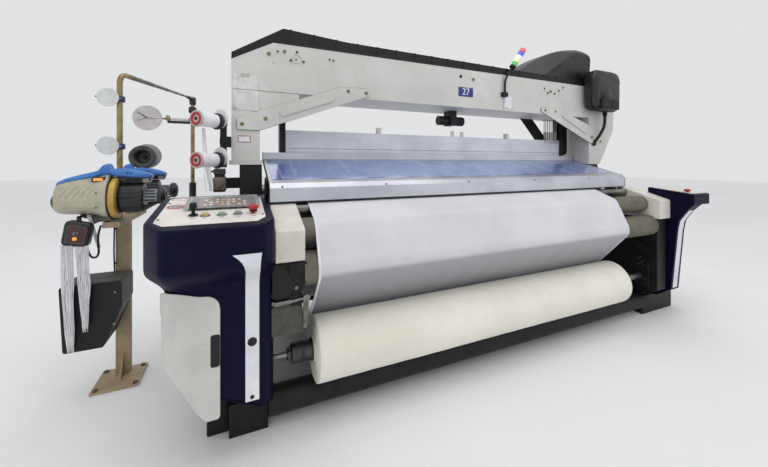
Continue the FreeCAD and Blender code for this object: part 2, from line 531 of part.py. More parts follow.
# --- drive units outside and inside the frames --------------------------------------------------------
gearbox = prism("x", [("-745", "480"), ("-560", "480"), ("-560", "806"), ("-745", "806")], "in_l + 20", "in_l + 135",
                [("20", (0,))])
gear_pad = block(("in_l", "in_l + 20"), ("-645", "-560"), ("500", "780"))
gear_seat = rod("x", ("take_y", "take_z"), "journal + fit", "in_l + 80", "in_l + 136")
lever_bar = rod("x", ("-725", "629"), "8", "in_l + 135", "in_l + 168")
lever = block(("in_l + 150", "in_l + 164"), ("-735", "-715"), ("520", "640"))
let_off = prism("x", [("300", "350"), ("560", "350"), ("560", "700"), ("300", "700")], "out_l - 100", "out_l",
                [("30", (0, 1, 2, 3))])
guard = prism("x", [("-120", "330"), ("480", "330"), ("480", "640"), ("-120", "760")], "out_r", "out_r + 80",
              [("50", (0, 1, 2, 3))])
motor_body = rod("x", ("360", "480"), "115", "out_r + 80", "out_r + 290")
keep("drive_units", cut(gearbox, gear_seat), gear_pad, lever_bar, lever, let_off, guard, motor_body, fuse=True)

# --- left console --------------------------------------------------------------------------------------
def plan(front, back, left_front, left_back, left_corner, inset):
    """The console's plan at one height: a front with both corners cut."""
    return [(f"{left_front} + {inset}", f"{front} + {inset}"), (f"con_r - 56 - {inset} / 2", f"{front} + {inset}"),
            (f"con_r - {inset}", f"col_front + 90 + {inset} / 2"), (f"con_r - {inset}", f"{back} - {inset}"),
            (f"{left_back} + {inset}", f"{back} - {inset}"), (f"{left_back} + {inset}", f"{left_corner} + {inset} / 2")]


def upper(inset, low, high):
    lower_plan = plan("col_front", "con_back - 20", "con_l + 150", "con_l + 45", "-520", inset)
    upper_plan = plan("con_front", "con_back", "con_l + 74", "con_l", "-716", inset)
    return lofted(lower_plan, upper_plan, low, "con_box"), prism("z", upper_plan, "con_box", high)


skin = joined(upper("0", "con_mid", "con_z + 110"))
room_loft, room_box = upper("wall", "con_mid", "con_z + 90")
roof_cut = tilted(local_block(("-700", "700"), ("-300", "900"), ("0", "400")), "con_l + 240", "0", "0")
roof_room = tilted(local_block(("-700", "700"), ("-300", "900"), ("0", "400")), "con_l + 240", "0", "-wall")
inner_side = block(("con_r - wall - 2", "con_r + 1"), ("col_front + 100", "con_back - 5"), ("con_mid - 1", "con_z - 2"))
rear_slot = block(("out_l", "con_r + 1"), ("con_back - 40", "con_back + 1"), ("con_mid - 1", "con_z - 2"))
panel_holes = []
for x, y, r in (("con_l + 396", "178", "9"), ("con_l + 208", "172", "11 + gap"), ("con_l + 271", "172", "11 + gap"),
                ("con_l + 334", "174", "11 + gap")):
    hole = doc.addObject("Part::Cylinder", "Hole")
    hole.setExpression("Radius", bound(r))
    hole.setExpression("Height", bound("40"))
    panel_holes.append(tilted(hole, x, y, "-20"))
shell = cut(skin, roof_cut, room_loft, cut(room_box, roof_room), inner_side, rear_slot, *panel_holes)
column = prism("z", [
    ("con_l + 270", "col_front"), ("con_r - 56", "col_front"), ("con_r", "col_front + 90"),
    ("con_r", "col_front + 130"), ("con_r - 9", "col_front + 130"), ("con_r - 9", "col_front + 93"),
    ("con_r - 61", "col_front + 16"), ("con_l + 270", "col_front + 16")], "con_low + 20", "con_mid")
cabinet = prism("z", [
    ("con_l + 270", "col_front + 16"), ("out_l - 10", "col_front + 16"), ("out_l - 10", "con_back - 20"),
    ("con_l + 45", "con_back - 20"), ("con_l + 45", "-504"), ("con_l + 62", "-504"), ("con_l + 162", "col_front + 16")],
    "con_low", "con_mid")
cabinet_room = prism("z", [
    ("con_l + 262", "col_front - 20"), ("con_l + 262", "col_front + 40"), ("out_l - 18", "col_front + 40"),
    ("out_l - 18", "con_back - 28"), ("con_l + 53", "con_back - 28"), ("con_l + 53", "-506"),
    ("con_l - 5", "-560"), ("con_l + 95", "col_front - 20")], "con_low + 8", "con_mid + 1")
rear_foot = block(("con_l + 203", "con_l + 288"), ("-560", "-460"), ("0", "con_low"))
drives = [block((f"con_l + {x}", f"con_l + {x} + 90"), ("con_back - 128", "con_back - 28"), ("con_low + 60", "con_mid - 80"))
          for x in (90, 200)]
keep("console_left", shell, column, cut(cabinet, cabinet_room), rear_foot, *drives)
door = prism("z", [
    ("con_l + 268", "col_front"), ("con_l + 268", "col_front + 12"), ("con_l + 157", "col_front + 12"),
    ("con_l + 57", "-514"), ("con_l + 45", "-518"), ("con_l + 149", "col_front")], "con_low + 3", "con_mid - 3")
latch = block(("con_l + 236", "con_l + 264"), ("col_front - 7", "col_front"), ("450", "540"))
keep("console_door", door, latch)

# Panel items stand on the sloping top. Their frame starts at the front edge's middle.
plate = local_block(("-215", "215"), ("35", "520"), ("0", "4"))
tilted(plate, "con_l + 240", "0", "0")
screen = tilted(local_block(("-110", "175"), ("255", "470"), ("4", "12")), "con_l + 240", "0", "0")
estop_base = tilted(local_block(("-26", "26"), ("-26", "26"), ("4", "14")), "con_l + 396", "178", "0")
toggle_base = tilted(local_block(("-22", "22"), ("-22", "22"), ("4", "8")), "con_l + 163", "182", "0")
keep("console_panel", cut(joined((plate, screen, estop_base, toggle_base)), *panel_holes))
flap = tilted(local_block(("-125", "190"), ("-225", "-1"), ("0", "3")), "con_l + 240", "flap_y", "12.6")
flap_pin = doc.addObject("Part::Cylinder", "FlapPin")
flap_pin.setExpression("Radius", bound("5"))
flap_pin.setExpression("Height", bound("120"))
tilted(flap_pin, "con_l + 212", "flap_y", "4 + gap + 5")
flap_pin.Placement.Rotation = Rotation(Vector(1, 0, 0), SIZES["tilt"]) * Rotation(Vector(0, 1, 0), 90)
keep("screen_flap", flap, flap_pin)
stick = turned([("0", "0"), ("0", "1"), ("7", "7"), ("24", "7"), ("28", "14"), ("48", "14"), ("52", "8"), ("52", "0")])
stick_turn = Rotation(Vector(1, 0, 0), SIZES["tilt"]) * Rotation(Vector(0, 1, 0), -90)


def upright(item, x, y, z):
    tilted(item, x, y, z)
    item.Placement.Rotation = stick_turn
    return item


keep("joystick", upright(stick, "con_l + 163", "182", "8.5"))
for name, x in (("button_yellow", "con_l + 208"), ("button_green", "con_l + 271"), ("button_grey", "con_l + 334")):
    cap_shape = [("0", "0"), ("0", "11"), ("8", "11"), ("8", "13"), ("16", "13"), ("18", "11"), ("18", "0")]
    keep(name, upright(turned(cap_shape), x, "172" if x != "con_l + 334" else "174", "0"))
mushroom = [("0", "0"), ("0", "8.7"), ("24", "8.7"), ("24", "20"), ("30", "23"), ("38", "20"), ("44", "8"), ("44", "0")]
keep("estop_left", upright(turned(mushroom), "con_l + 396", "178", "0"))

# --- right console: a slim column with an overhanging top ------------------------------------------
slim = [
    ("-660", "foot_h - 3"), ("-600", "foot_h - 3"), ("-600", "con_z + 40"), ("-615", "con_z + 40"), ("slim_front", "con_z + 5"),
    ("slim_front", "con_z - 72"), ("slim_front + 48", "con_z - 125"), ("slim_front + 100", "con_z - 211"),
    ("slim_front + 112", "con_z - 288"), ("slim_front + 151", "226")]
slim_room = [
    ("-650", "foot_h + 6"), ("-599", "foot_h + 6"), ("-599", "con_z - 85"), ("slim_front + 70", "con_z - 100"),
    ("slim_front + 112", "con_z - 211"), ("slim_front + 124", "con_z - 288"), ("slim_front + 162", "226")]
slim_body = cut(prism("x", slim, "slim_l", "slim_col", [("60", (7, 8))]),
                prism("x", slim_room, "slim_l + 8", "slim_col - 8"))
slim_top = prism("z", [
    ("slim_l", "slim_front"), ("slim_r - 60", "slim_front"), ("slim_r", "slim_front + 60"),
    ("slim_r", "-660"), ("slim_r - 60", "-600"), ("slim_l", "-600")], "con_z - 72", "con_z + 60")


def slim_slope(back, up):
    """A point over the sloping top, measured back from its front edge."""
    return f"slim_front + {back}", f"con_z + 7 + ({back}) * slim_rise + {up}"


top_cut = prism("x", [slim_slope(-85, 0), slim_slope(415, 0), slim_slope(415, 150), slim_slope(-85, 150)],
                "slim_l - 1", "slim_r + 1")
top_room = block(("slim_l + 10", "slim_r - 14"), ("slim_front + 60", "-599"), ("con_z - 62", "con_z"))
slim_hole = rod("z", ("slim_l + 60", "slim_front + 70"), "9", "con_z - 20", "con_z + 60")
keep("console_right", cut(slim_top, top_cut, top_room, slim_hole), cut(slim_body, slim_hole))
right_plate = prism("x", [slim_slope(25, 0), slim_slope(300, 0), slim_slope(300, 4), slim_slope(25, 4)],
                    "slim_l + 18", "slim_r - 30")
keep("panel_right", cut(right_plate, slim_hole))
stem = turned([("0", "0"), ("0", "8.7"), ("20", "8.7"), ("20", "20"), ("28", "23"), ("36", "18"), ("40", "0")],
              ("slim_l + 60", "slim_front + 70", "con_z + 6"), Rotation(Vector(0, 1, 0), -90))
keep("estop_right", stem)

# --- weft feeder stand ------------------------------------------------------------------------------
stand_plate = block(("stand_x - 110", "stand_x + 110"), ("-20", "stand_y + 70"), ("0", "12"))
stand_column = block(("stand_x - 35", "stand_x + 35"), ("stand_y", "stand_y + 40"), ("12", "rail_z"))
stand_gusset = prism("x", [("stand_y", "12"), ("stand_y", "130"), ("stand_y - 70", "12")], "stand_x - 6", "stand_x + 6")
rail = block(("stand_x - 45", "stand_x + 30"), ("-45", "545"), ("rail_z", "rail_z + 30"))
keep("stand_post", stand_plate, stand_column, stand_gusset, rail)
gate_clamp = block(("leg_b_x - 26", "leg_b_x + 26"), ("leg_b_y - 26", "leg_b_y + 26"), ("gate_z - 120", "gate_z - 70"))
gate = bent_tube("leg_r", [("leg_x", "leg_y", "rail_z + 30"), ("leg_x", "leg_y", "gate_z"),
                           ("leg_b_x", "leg_b_y", "gate_z"), ("leg_b_x", "leg_b_y", "14")], "70")
gate_foot = rod("z", ("leg_b_x", "leg_b_y"), "44", "0", "14")
gate_sleeve = rod("z", ("leg_b_x", "leg_b_y"), "26", "960", "1090")
keep("gate_tube", gate, gate_foot, gate_sleeve, gate_clamp)
hopper = prism("y", [
    ("stand_x - 212", "618"), ("stand_x + 49", "618"), ("stand_x + 49", "480"), ("stand_x - 30", "277"), ("stand_x - 196", "277")],
               "stand_y - 210", "stand_y", [("14", (0, 1, 2, 3, 4))])
keep("stand_box", hopper)


def feeder(name, y):
    """A weft feeder: housing, core and drum in one turned piece, with a wing above and a foot below."""
    tail = "feed_tail"
    shape = [
        (tail, "0"), (tail, "28"), (f"{tail} + 25", "28"), (f"{tail} + 25", "62"), (f"{tail} + 50", "80"),
        (f"{tail} + 195", "86"), (f"{tail} + 235", "104"), (f"{tail} + 253", "104"), (f"{tail} + 253", "core_r"),
        (f"{tail} + 292", "core_r"), (f"{tail} + 292", "drum_r"), (f"{tail} + 401", "drum_r"),
        (f"{tail} + 401", "42"), ("feed_tip - 39", "42"), ("feed_tip - 39", "36"), ("feed_tip", "36"), ("feed_tip", "0")]
    housing = turned(shape, ("0", y, "feed_z"))
    wing_shape = [
        (f"{tail} + 26", "feed_z + 66"), (f"{tail} + 195", "feed_z + 84"), (f"{tail} + 222", "feed_z + 120"),
        (f"{tail} + 440", "feed_z + 92"), (f"{tail} + 440", "feed_z + 130"), (f"{tail} + 330", "feed_z + 165"),
        (f"{tail} + 262", "feed_z + 160"), (f"{tail} + 240", "feed_z + 188"), (f"{tail} + 205", "feed_z + 184"),
        (f"{tail} + 26", "feed_z + 88")]
    wing = prism("y", wing_shape, f"{y} - 42", f"{y} + 42", [("22", (5, 8))])
    hollow = rod("x", (y, "feed_z"), "ring_r + 5", f"{tail} + 254", f"{tail} + 292")
    sensor = block((f"{tail} + 310", f"{tail} + 420"), (f"{y} - 26", f"{y} + 26"), ("feed_z + drum_r + 3", "feed_z + 112"))
    foot = block((f"{tail} + 225", f"{tail} + 252"), (f"{y} - 30", f"{y} + 30"), ("rail_z + 30", "feed_z - 80"))
    step = block((f"{tail} + 225", "stand_x + 30"), (f"{y} - 30", f"{y} + 30"), ("rail_z + 30", "rail_z + 40"))
    keep(name, housing, cut(wing, hollow), sensor, foot, step)
    ring_shape = [
        (f"{tail} + 256", "core_r + fit"), (f"{tail} + 256", "ring_r - 8"), (f"{tail} + 264", "ring_r"),
        (f"{tail} + 285", "ring_r"), (f"{tail} + 289", "ring_r - 12"), (f"{tail} + 289", "core_r + fit")]
    keep(name + "_ring", turned(ring_shape, ("0", y, "feed_z")))


feeder("feeder_front", "feed_y")
feeder("feeder_rear", "feed_y + feed_pitch")

# Guides on the near leg, a disc on an arm from the far leg, and a yarn cone on the rail.
def guide(z):
    arm = block(("leg_x - 110", "leg_x + 30"), ("leg_y - leg_r - 14", "leg_y + leg_r + 10"), (f"{z} - 12", f"{z} + 12"))
    disc = rod("y", ("leg_x - 48", z), "53", "leg_y - leg_r - 20", "leg_y - leg_r - 14")
    return cut(arm, rod("z", ("leg_x", "leg_y"), "leg_r", f"{z} - 13", f"{z} + 13")), disc


arm_disc = rod("y", ("leg_b_x - 300", "1600"), "97", "leg_b_y - 60", "leg_b_y - 54")
arm_bar = rod("x", ("leg_b_y - 51", "1600"), "6", "leg_b_x - 300", "leg_b_x + 20")
arm_block = block(("leg_b_x - 22", "leg_b_x + 22"), ("leg_b_y - 60", "leg_b_y + 22"), ("1585", "1615"))
arm_clamp = cut(arm_block, rod("z", ("leg_b_x", "leg_b_y"), "leg_r", "1580", "1620"))
cone_peg = rod("z", ("stand_x + 24", "530"), "8", "rail_z + 30", "1230")
cone_disc = rod("y", ("stand_x + 40", "1299"), "85", "524", "530")
cone_rim = cut(rod("y", ("stand_x + 24", "1290"), "80", "455", "527"),
               rod("y", ("stand_x + 24", "1290"), "48", "454", "515"))
far_arm = joined((arm_disc, arm_bar, arm_clamp))
cone = joined((joined((cone_rim, cone_disc)), cone_peg))
keep("yarn_holders", joined(guide("1631")), joined(guide("1351")), far_arm, cone, fuse=False)

# Bracket on the left post: two spindles set at an angle, and the pump block below it.
lean = Rotation(Vector(0, 0, 1), 47)
lean_x, lean_y = math.cos(math.radians(47)), math.sin(math.radians(47))
spindles = []
for z in ("1480", "1265"):
    spindles.append(turned([("6", "0"), ("6", "6"), ("160", "6"), ("160", "26"), ("172", "26"), ("172", "12"), ("186", "12"),
                            ("186", "0")], ("girder_l - 170", "-330", z), lean))
mast = block(("girder_l - 57", "girder_l - 23"), ("-214", "-178"), ("1225", "1515"))
mast_arm = block(("girder_l - 50", "girder_l"), ("-205", "-150"), ("1340", "1400"))
pump_arm = block(("girder_l - 85", "out_l"), ("girder_y", "girder_y + 24"), ("1105", "1165"))
pump_body = prism("x", [("-300", "1095"), ("girder_y", "1095"), ("girder_y", "1172"), ("-300", "1172")], "girder_l - 85", "girder_l - 27",
                  [("12", (0, 3))])
pump_cap = rod("z", ("girder_l - 56", "-262"), "26", "1172", "1217")
keep("post_brackets", *spindles, mast, mast_arm, pump_body, pump_arm, pump_cap, fuse=True)
bobbin_shape = [
    ("0", "6 + fit"), ("0", "44"), ("10", "44"), ("10", "24"), ("20", "36"), ("128", "36"), ("138", "24"), ("138", "44"),
    ("146", "44"), ("146", "6 + fit")]
for name, z in (("bobbin_upper", "1480"), ("bobbin_lower", "1265")):
    keep(name, turned(bobbin_shape, (f"girder_l - 170 + 8 * {lean_x:.4f}", f"-330 + 8 * {lean_y:.4f}", z), lean))

sensor = prism("y", [
    ("stand_x - 198", "830"), ("stand_x - 84", "816"), ("stand_x - 70", "942"), ("stand_x - 184", "957")], "-110", "-55",
               [("14", (0, 1, 2, 3))])
strap = block(("stand_x - 136", "stand_x - 120"), ("-90", "-76"), ("945", "975.9"))
strap_top = block(("stand_x - 136", "stand_x - 120"), ("-90", "4"), ("965.9", "975.9"))
keep("sensor_box", sensor, strap, strap_top)
keep("sensor_cable", bent_tube("5", [
    ("stand_x - 51", "-40", "rail_z + 16"), ("stand_x - 58", "-60", "rail_z - 20"), ("stand_x - 52", "-78", "rail_z - 74"),
    ("stand_x - 46", "-84", "rail_z - 126"), ("stand_x - 64", "-80", "rail_z - 150"), ("stand_x - 92", "-72", "rail_z - 134"),
    ("stand_x - 102", "-66", "817.3")]))
tails = [prism("y", [(f"{x} - 30", left_top), (f"{x} + 26", right_top), (f"{x} + 16 + {d}", "560"),
                     (f"{x} + 8 + {d}", "300"), (f"{x} - 12 + {d}", "300"), (f"{x} - 20", "560")], "-107", "-99")
         for x, d, left_top, right_top in (("stand_x - 168", 12, "829.5", "822.6"), ("stand_x - 110", -4, "822.4", "815.5"))]
keep("yarn_tails", *tails, fuse=False)

doc.recompute()
bad = [item.Label for item in doc.Objects if {"Invalid", "Error"} & set(item.State)]
for label, item in NODES.items():
    if item.Shape.isNull() or not item.Shape.isValid() or not item.Shape.Solids:
        bad.append(label)
if bad:
    raise RuntimeError(f"failed: {bad}")
os.makedirs("parts", exist_ok=True)
for label, item in NODES.items():
    item.Shape.exportStep(f"parts/{label}.step")
print(len(NODES), "sub-parts")
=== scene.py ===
"""Looks of a shuttleless power loom and its weft feeder stand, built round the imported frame. Metres."""
import math

import bmesh
import bpy
import numpy as np
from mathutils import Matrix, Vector


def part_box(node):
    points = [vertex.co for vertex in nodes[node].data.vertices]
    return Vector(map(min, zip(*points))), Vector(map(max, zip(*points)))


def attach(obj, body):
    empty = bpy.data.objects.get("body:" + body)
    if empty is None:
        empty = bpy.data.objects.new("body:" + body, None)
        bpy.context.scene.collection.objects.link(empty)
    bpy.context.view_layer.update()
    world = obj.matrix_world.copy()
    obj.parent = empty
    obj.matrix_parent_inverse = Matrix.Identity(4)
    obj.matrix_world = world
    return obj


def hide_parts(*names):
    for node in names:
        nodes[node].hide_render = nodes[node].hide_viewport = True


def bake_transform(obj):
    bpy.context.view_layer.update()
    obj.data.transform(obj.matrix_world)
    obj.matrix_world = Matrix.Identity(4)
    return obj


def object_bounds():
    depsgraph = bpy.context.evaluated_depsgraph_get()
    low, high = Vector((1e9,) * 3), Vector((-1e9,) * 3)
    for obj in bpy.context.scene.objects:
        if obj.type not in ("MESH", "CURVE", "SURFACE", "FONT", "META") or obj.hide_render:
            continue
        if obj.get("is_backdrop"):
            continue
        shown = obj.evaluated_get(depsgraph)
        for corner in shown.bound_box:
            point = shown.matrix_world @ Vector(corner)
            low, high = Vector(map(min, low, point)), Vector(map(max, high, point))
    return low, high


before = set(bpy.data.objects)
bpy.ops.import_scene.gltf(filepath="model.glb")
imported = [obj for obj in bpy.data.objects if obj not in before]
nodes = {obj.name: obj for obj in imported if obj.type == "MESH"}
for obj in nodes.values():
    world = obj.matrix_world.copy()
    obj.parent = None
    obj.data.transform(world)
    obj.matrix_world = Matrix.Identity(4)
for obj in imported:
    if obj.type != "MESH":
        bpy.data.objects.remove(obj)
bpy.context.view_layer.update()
RANDOM = np.random.default_rng(11)


# --- camera, floor and light ---
def aim(thing, target):
    thing.rotation_euler = (Vector(target) - thing.location).to_track_quat("-Z", "Y").to_euler()


camera = bpy.data.objects.new("camera", bpy.data.cameras.new("camera"))
bpy.context.scene.collection.objects.link(camera)
camera.location = (-1.305, -2.280, 1.250)
camera.rotation_euler = (math.radians(90), 0, math.radians(-23.88))
camera.data.lens = 15.56
camera.data.sensor_width = 36
camera.data.shift_y = -0.0918
camera.data.clip_start = 0.05
bpy.context.scene.camera = camera


def softbox(name, place, target, width, height, watts, colour=(1, 1, 1)):
    light = bpy.data.objects.new(name, bpy.data.lights.new(name, "AREA"))
    bpy.context.scene.collection.objects.link(light)
    light.data.shape = "RECTANGLE"
    light.data.size, light.data.size_y = width, height
    light.data.energy = watts
    light.data.color = colour
    light.location = place
    aim(light, target)


softbox("light_over", (-0.3, -1.2, 4.6), (0.1, -0.2, 0.6), 5.0, 3.0, 56)
softbox("light_left", (-4.2, -2.6, 2.6), (-0.6, -0.3, 0.9), 2.6, 2.2, 12, (1, 0.985, 0.96))
softbox("light_right", (3.6, -4.0, 2.4), (0.6, -0.3, 0.8), 3.0, 2.0, 12, (0.97, 0.985, 1))
softbox("light_back", (0.6, 3.6, 3.6), (0.2, 0.2, 0.9), 4.0, 2.0, 24)
world = bpy.data.worlds.new("studio")
bpy.context.scene.world = world
world.use_nodes = True
world.node_tree.nodes["Background"].inputs["Color"].default_value = (0.97, 0.98, 1, 1)
world.node_tree.nodes["Background"].inputs["Strength"].default_value = 0.78
bpy.context.scene.view_settings.view_transform = "Standard"


# --- materials ---
def linear(hexa):
    """An sRGB hex colour as linear red, green, blue and alpha."""
    parts = [int(hexa[i:i + 2], 16) / 255 for i in (1, 3, 5)]
    return [p / 12.92 if p <= 0.04045 else ((p + 0.055) / 1.055) ** 2.4 for p in parts] + [1.0]


def add(material, kind, inputs=None, **settings):
    """Adds one node, with its settings, its input values and its links from other nodes' outputs."""
    made = material.node_tree.nodes.new("ShaderNode" + kind)
    for word, setting in settings.items():
        setattr(made, word, setting)
    for socket, given in (inputs or {}).items():
        if isinstance(given, bpy.types.NodeSocket):
            material.node_tree.links.new(given, made.inputs[socket])
        else:
            made.inputs[socket].default_value = given
    return made


def finish(name, colour, second=None, patch=0.25, share=(0.4, 0.62), rough=0.4, rough_to=None, metal=0.0,
        grain=0.004, depth=0.0002, stretch=(1, 1, 1), dust=None, dust_share=(0.56, 0.72), **sockets):
    """A surface: a colour that drifts to a second one in patches, with a fine bump of a given grain size and
    depth. stretch draws the grain out along an axis, as brushing does. dust is a third colour in smaller
    spots."""
    material = bpy.data.materials.new(name)
    material.use_nodes = True
    shader = material.node_tree.nodes["Principled BSDF"]
    place = add(material, "TexCoord").outputs["Object"]
    broad = add(material, "TexNoise", {"Vector": place, "Scale": 1 / patch, "Detail": 5.0, "Roughness": 0.62})
    drift = add(material, "MapRange", {"Value": broad.outputs["Fac"], "From Min": share[0],
        "From Max": share[1]})
    tint = add(material, "Mix", {0: drift.outputs["Result"], 6: linear(colour), 7: linear(second or colour)},
        data_type="RGBA")
    colour_out = tint.outputs[2]
    drawn = add(material, "Mapping", {"Vector": place, "Scale": stretch})
    fine = add(material, "TexNoise", {"Vector": drawn.outputs["Vector"], "Scale": 1 / grain, "Detail": 3.0})
    if dust:
        spots = add(material, "TexNoise", {"Vector": place, "Scale": 9 / patch, "Detail": 6.0,
            "Roughness": 0.7})
        fac = add(material, "MapRange", {"Value": spots.outputs["Fac"], "From Min": dust_share[0],
            "From Max": dust_share[1], "To Max": 0.8})
        colour_out = add(material, "Mix", {0: fac.outputs["Result"], 6: colour_out, 7: linear(dust)},
            data_type="RGBA").outputs[2]
    gloss = add(material, "MapRange", {"Value": fine.outputs["Fac"], "From Min": 0.3, "From Max": 0.7,
        "To Min": rough, "To Max": rough_to or rough + 0.1})
    bump = add(material, "Bump", {"Height": fine.outputs["Fac"], "Distance": depth, "Strength": 0.6})
    link = material.node_tree.links.new
    link(colour_out, shader.inputs["Base Color"])
    link(gloss.outputs["Result"], shader.inputs["Roughness"])
    link(bump.outputs["Normal"], shader.inputs["Normal"])
    shader.inputs["Metallic"].default_value = metal
    for word, setting in sockets.items():
        shader.inputs[word.replace("_", " ")].default_value = setting
    return material


# Gel-coated glass fibre, dark blue: a deep gloss with faint flow marks.
navy = finish("navy_gel_coat", "#0b0926", "#0e0c2c", patch=0.5, rough=0.36, grain=0.02, depth=0.0003,
    Specular_IOR_Level=0.09, dust="#17152f", dust_share=(0.62, 0.85))
# White stove enamel on the stripe, a little yellowed.
stripe_white = finish("stripe_enamel", "#e9e9ee", "#d9dae2", patch=0.2, rough=0.3, grain=0.004, depth=0.00008)
# Powder coat on the cabinet door: fine orange peel, finger marks in spots.
door_grey = finish("door_powder_coat", "#cfcdc9", "#c3c1bd", patch=0.35, rough=0.42, grain=0.003,
    depth=0.00012, dust="#a5a29d", dust_share=(0.6, 0.8))
# Cream enamel on cast covers.
cream = finish("cream_enamel", "#e6e1d8", "#d2cdc5", patch=0.16, rough=0.38, grain=0.004, depth=0.00015,
    dust="#a9a49d", dust_share=(0.6, 0.78))
# Light grey enamel on folded steel sheet.
grey_sheet = finish("grey_enamel_sheet", "#cfcfca", "#c2c2bd", patch=0.5, rough=0.4, grain=0.003,
    depth=0.0001, dust="#a7a6a8", dust_share=(0.61, 0.8))
# Black enamel over cast iron, oily and linty.
cast_black = finish("cast_iron_enamel", "#101011", "#191918", patch=0.12, rough=0.45, grain=0.004,
    depth=0.0006, dust="#3c3a36", dust_share=(0.6, 0.78), Specular_IOR_Level=0.3)
# Moulded ABS, black with a fine texture.
abs_black = finish("abs_black", "#0e0e10", "#161618", patch=0.3, rough=0.45, grain=0.0025, depth=0.0002,
    dust="#343331", dust_share=(0.62, 0.85), Specular_IOR_Level=0.35)
# Vinyl cover of the harness motor: soft creases.
vinyl = finish("vinyl_black", "#131316", "#222226", patch=0.05, rough=0.34, grain=0.030, depth=0.010,
    Specular_IOR_Level=0.5)
# Ground nitrile rubber on the draw rollers.
rubber = finish("nitrile_rubber", "#6a6557", "#59554a", patch=0.12, rough=0.62, grain=0.003, depth=0.0003,
    stretch=(0.4, 1, 1), dust="#8b867a")
# Bright turned steel, with fine rings round the axis.
steel = finish("turned_steel", "#8b8a88", "#6a6968", patch=0.1, rough=0.28, metal=1.0, grain=0.006,
    depth=0.0001, stretch=(6, 0.2, 0.2))
# Steel dulled by oil and lint.
dull_steel = finish("dull_steel", "#575654", "#3a3a3a", patch=0.06, rough=0.4, metal=0.85, grain=0.006,
    depth=0.0003)
# Brushed anodised aluminium, brushed along X.
aluminium = finish("anodised_aluminium", "#c9cbd0", "#b7b9c0", patch=0.4, rough=0.34, metal=0.75, grain=0.004,
    depth=0.00006, stretch=(0.03, 1, 1))
heald_alloy = finish("heald_frame_alloy", "#dfe1e5", "#cfd1d6", patch=0.4, rough=0.4, metal=0.35, grain=0.004,
    depth=0.00006, stretch=(0.03, 1, 1))
laminate = finish("panel_laminate", "#e2ddd6", "#d4cec6", patch=0.12, rough=0.34, grain=0.003, depth=0.00006,
    dust="#b3aca2", dust_share=(0.62, 0.8))
yarn_white = finish("polyester_yarn", "#ecebee", "#dcdbe0", patch=0.05, rough=0.62, grain=0.0016,
    depth=0.0008, Sheen_Weight=0.3)
warp_yarn = finish("warp_yarn", "#e4e3e6", "#d3d2d6", patch=0.3, rough=0.6, grain=0.003, depth=0.0006,
    stretch=(1, 0.02, 0.02), Sheen_Weight=0.25)
red = finish("red_abs", "#b3161c", "#9a1218", patch=0.03, rough=0.3, grain=0.002, depth=0.00005)
yellow = finish("yellow_abs", "#c9bb76", "#b5a866", patch=0.03, rough=0.32, grain=0.002, depth=0.00005)
green = finish("green_abs", "#8fb39a", "#7da289", patch=0.03, rough=0.32, grain=0.002, depth=0.00005)
clear_grey = finish("smoke_abs", "#8f9493", "#7a7f7e", patch=0.03, rough=0.25, grain=0.002, depth=0.00005)
beige_rust = finish("rusty_beige_enamel", "#b09d80", "#9d8a6c", patch=0.14, rough=0.55, grain=0.004,
    depth=0.0005, dust="#6e543c", dust_share=(0.58, 0.72))
rust = finish("rusty_plate", "#6d5a4b", "#4d3c30", patch=0.07, rough=0.75, grain=0.004, depth=0.0012,
    dust="#8a7868", dust_share=(0.5, 0.7))
brass = finish("brass_lacquered_tube", "#a08e68", "#86744f", patch=0.06, rough=0.33, metal=0.8, grain=0.004,
    depth=0.0001)
feeder_grey = finish("feeder_shell_grey", "#b9b5a1", "#a4a08d", patch=0.08, rough=0.42, grain=0.002,
    depth=0.00015, dust="#827e6d")
feeder_blue = finish("feeder_shell_blue", "#3f7ac4", "#336bb2", patch=0.08, rough=0.36, grain=0.002,
    depth=0.0001, dust="#6b93bd", dust_share=(0.6, 0.8))
ring_yellow = finish("ring_yellow", "#d0a954", "#b8923f", patch=0.05, rough=0.4, grain=0.002, depth=0.0001)
slot_grey = finish("drum_nose_grey", "#8c9096", "#74777d", patch=0.05, rough=0.4, grain=0.002, depth=0.0001)
disc_pale = finish("disc_ceramic", "#d9dbda", "#c8cac8", patch=0.06, rough=0.25, grain=0.003, depth=0.00005)
sensor_brown = finish("sensor_face", "#4a2e2a", "#3a2422", patch=0.03, rough=0.4, grain=0.002, depth=0.0001)
orange = finish("orange_lens", "#f0a24a", "#e28f3a", patch=0.02, rough=0.25, grain=0.002, depth=0.00004,
    Emission_Color=linear("#f5ab58"), Emission_Strength=0.35)
paper = finish("taped_paper", "#d9d8d6", "#c6c5c3", patch=0.06, rough=0.7, grain=0.003, depth=0.0002)
plate_blue = finish("plate_blue", "#2a2f86", "#23286f", patch=0.06, rough=0.35, grain=0.002, depth=0.00005)
ink_white = finish("ink_white", "#e8e8ee", "#d7d7df", patch=0.03, rough=0.4, grain=0.002, depth=0.00002)
ink_red = finish("ink_red", "#b04a4c", "#9c3e41", patch=0.02, rough=0.4, grain=0.002, depth=0.00002)
brass_screw = finish("plated_screw", "#a59468", "#7c6f52", patch=0.02, rough=0.32, metal=0.9, grain=0.003,
    depth=0.0001)
dark_hole = finish("dark_recess", "#0c0c0e", "#141416", patch=0.05, rough=0.6, grain=0.003, depth=0.0001)
pump_brown = finish("pump_casting", "#6b5f53", "#4d443c", patch=0.03, rough=0.5, grain=0.003, depth=0.0004)


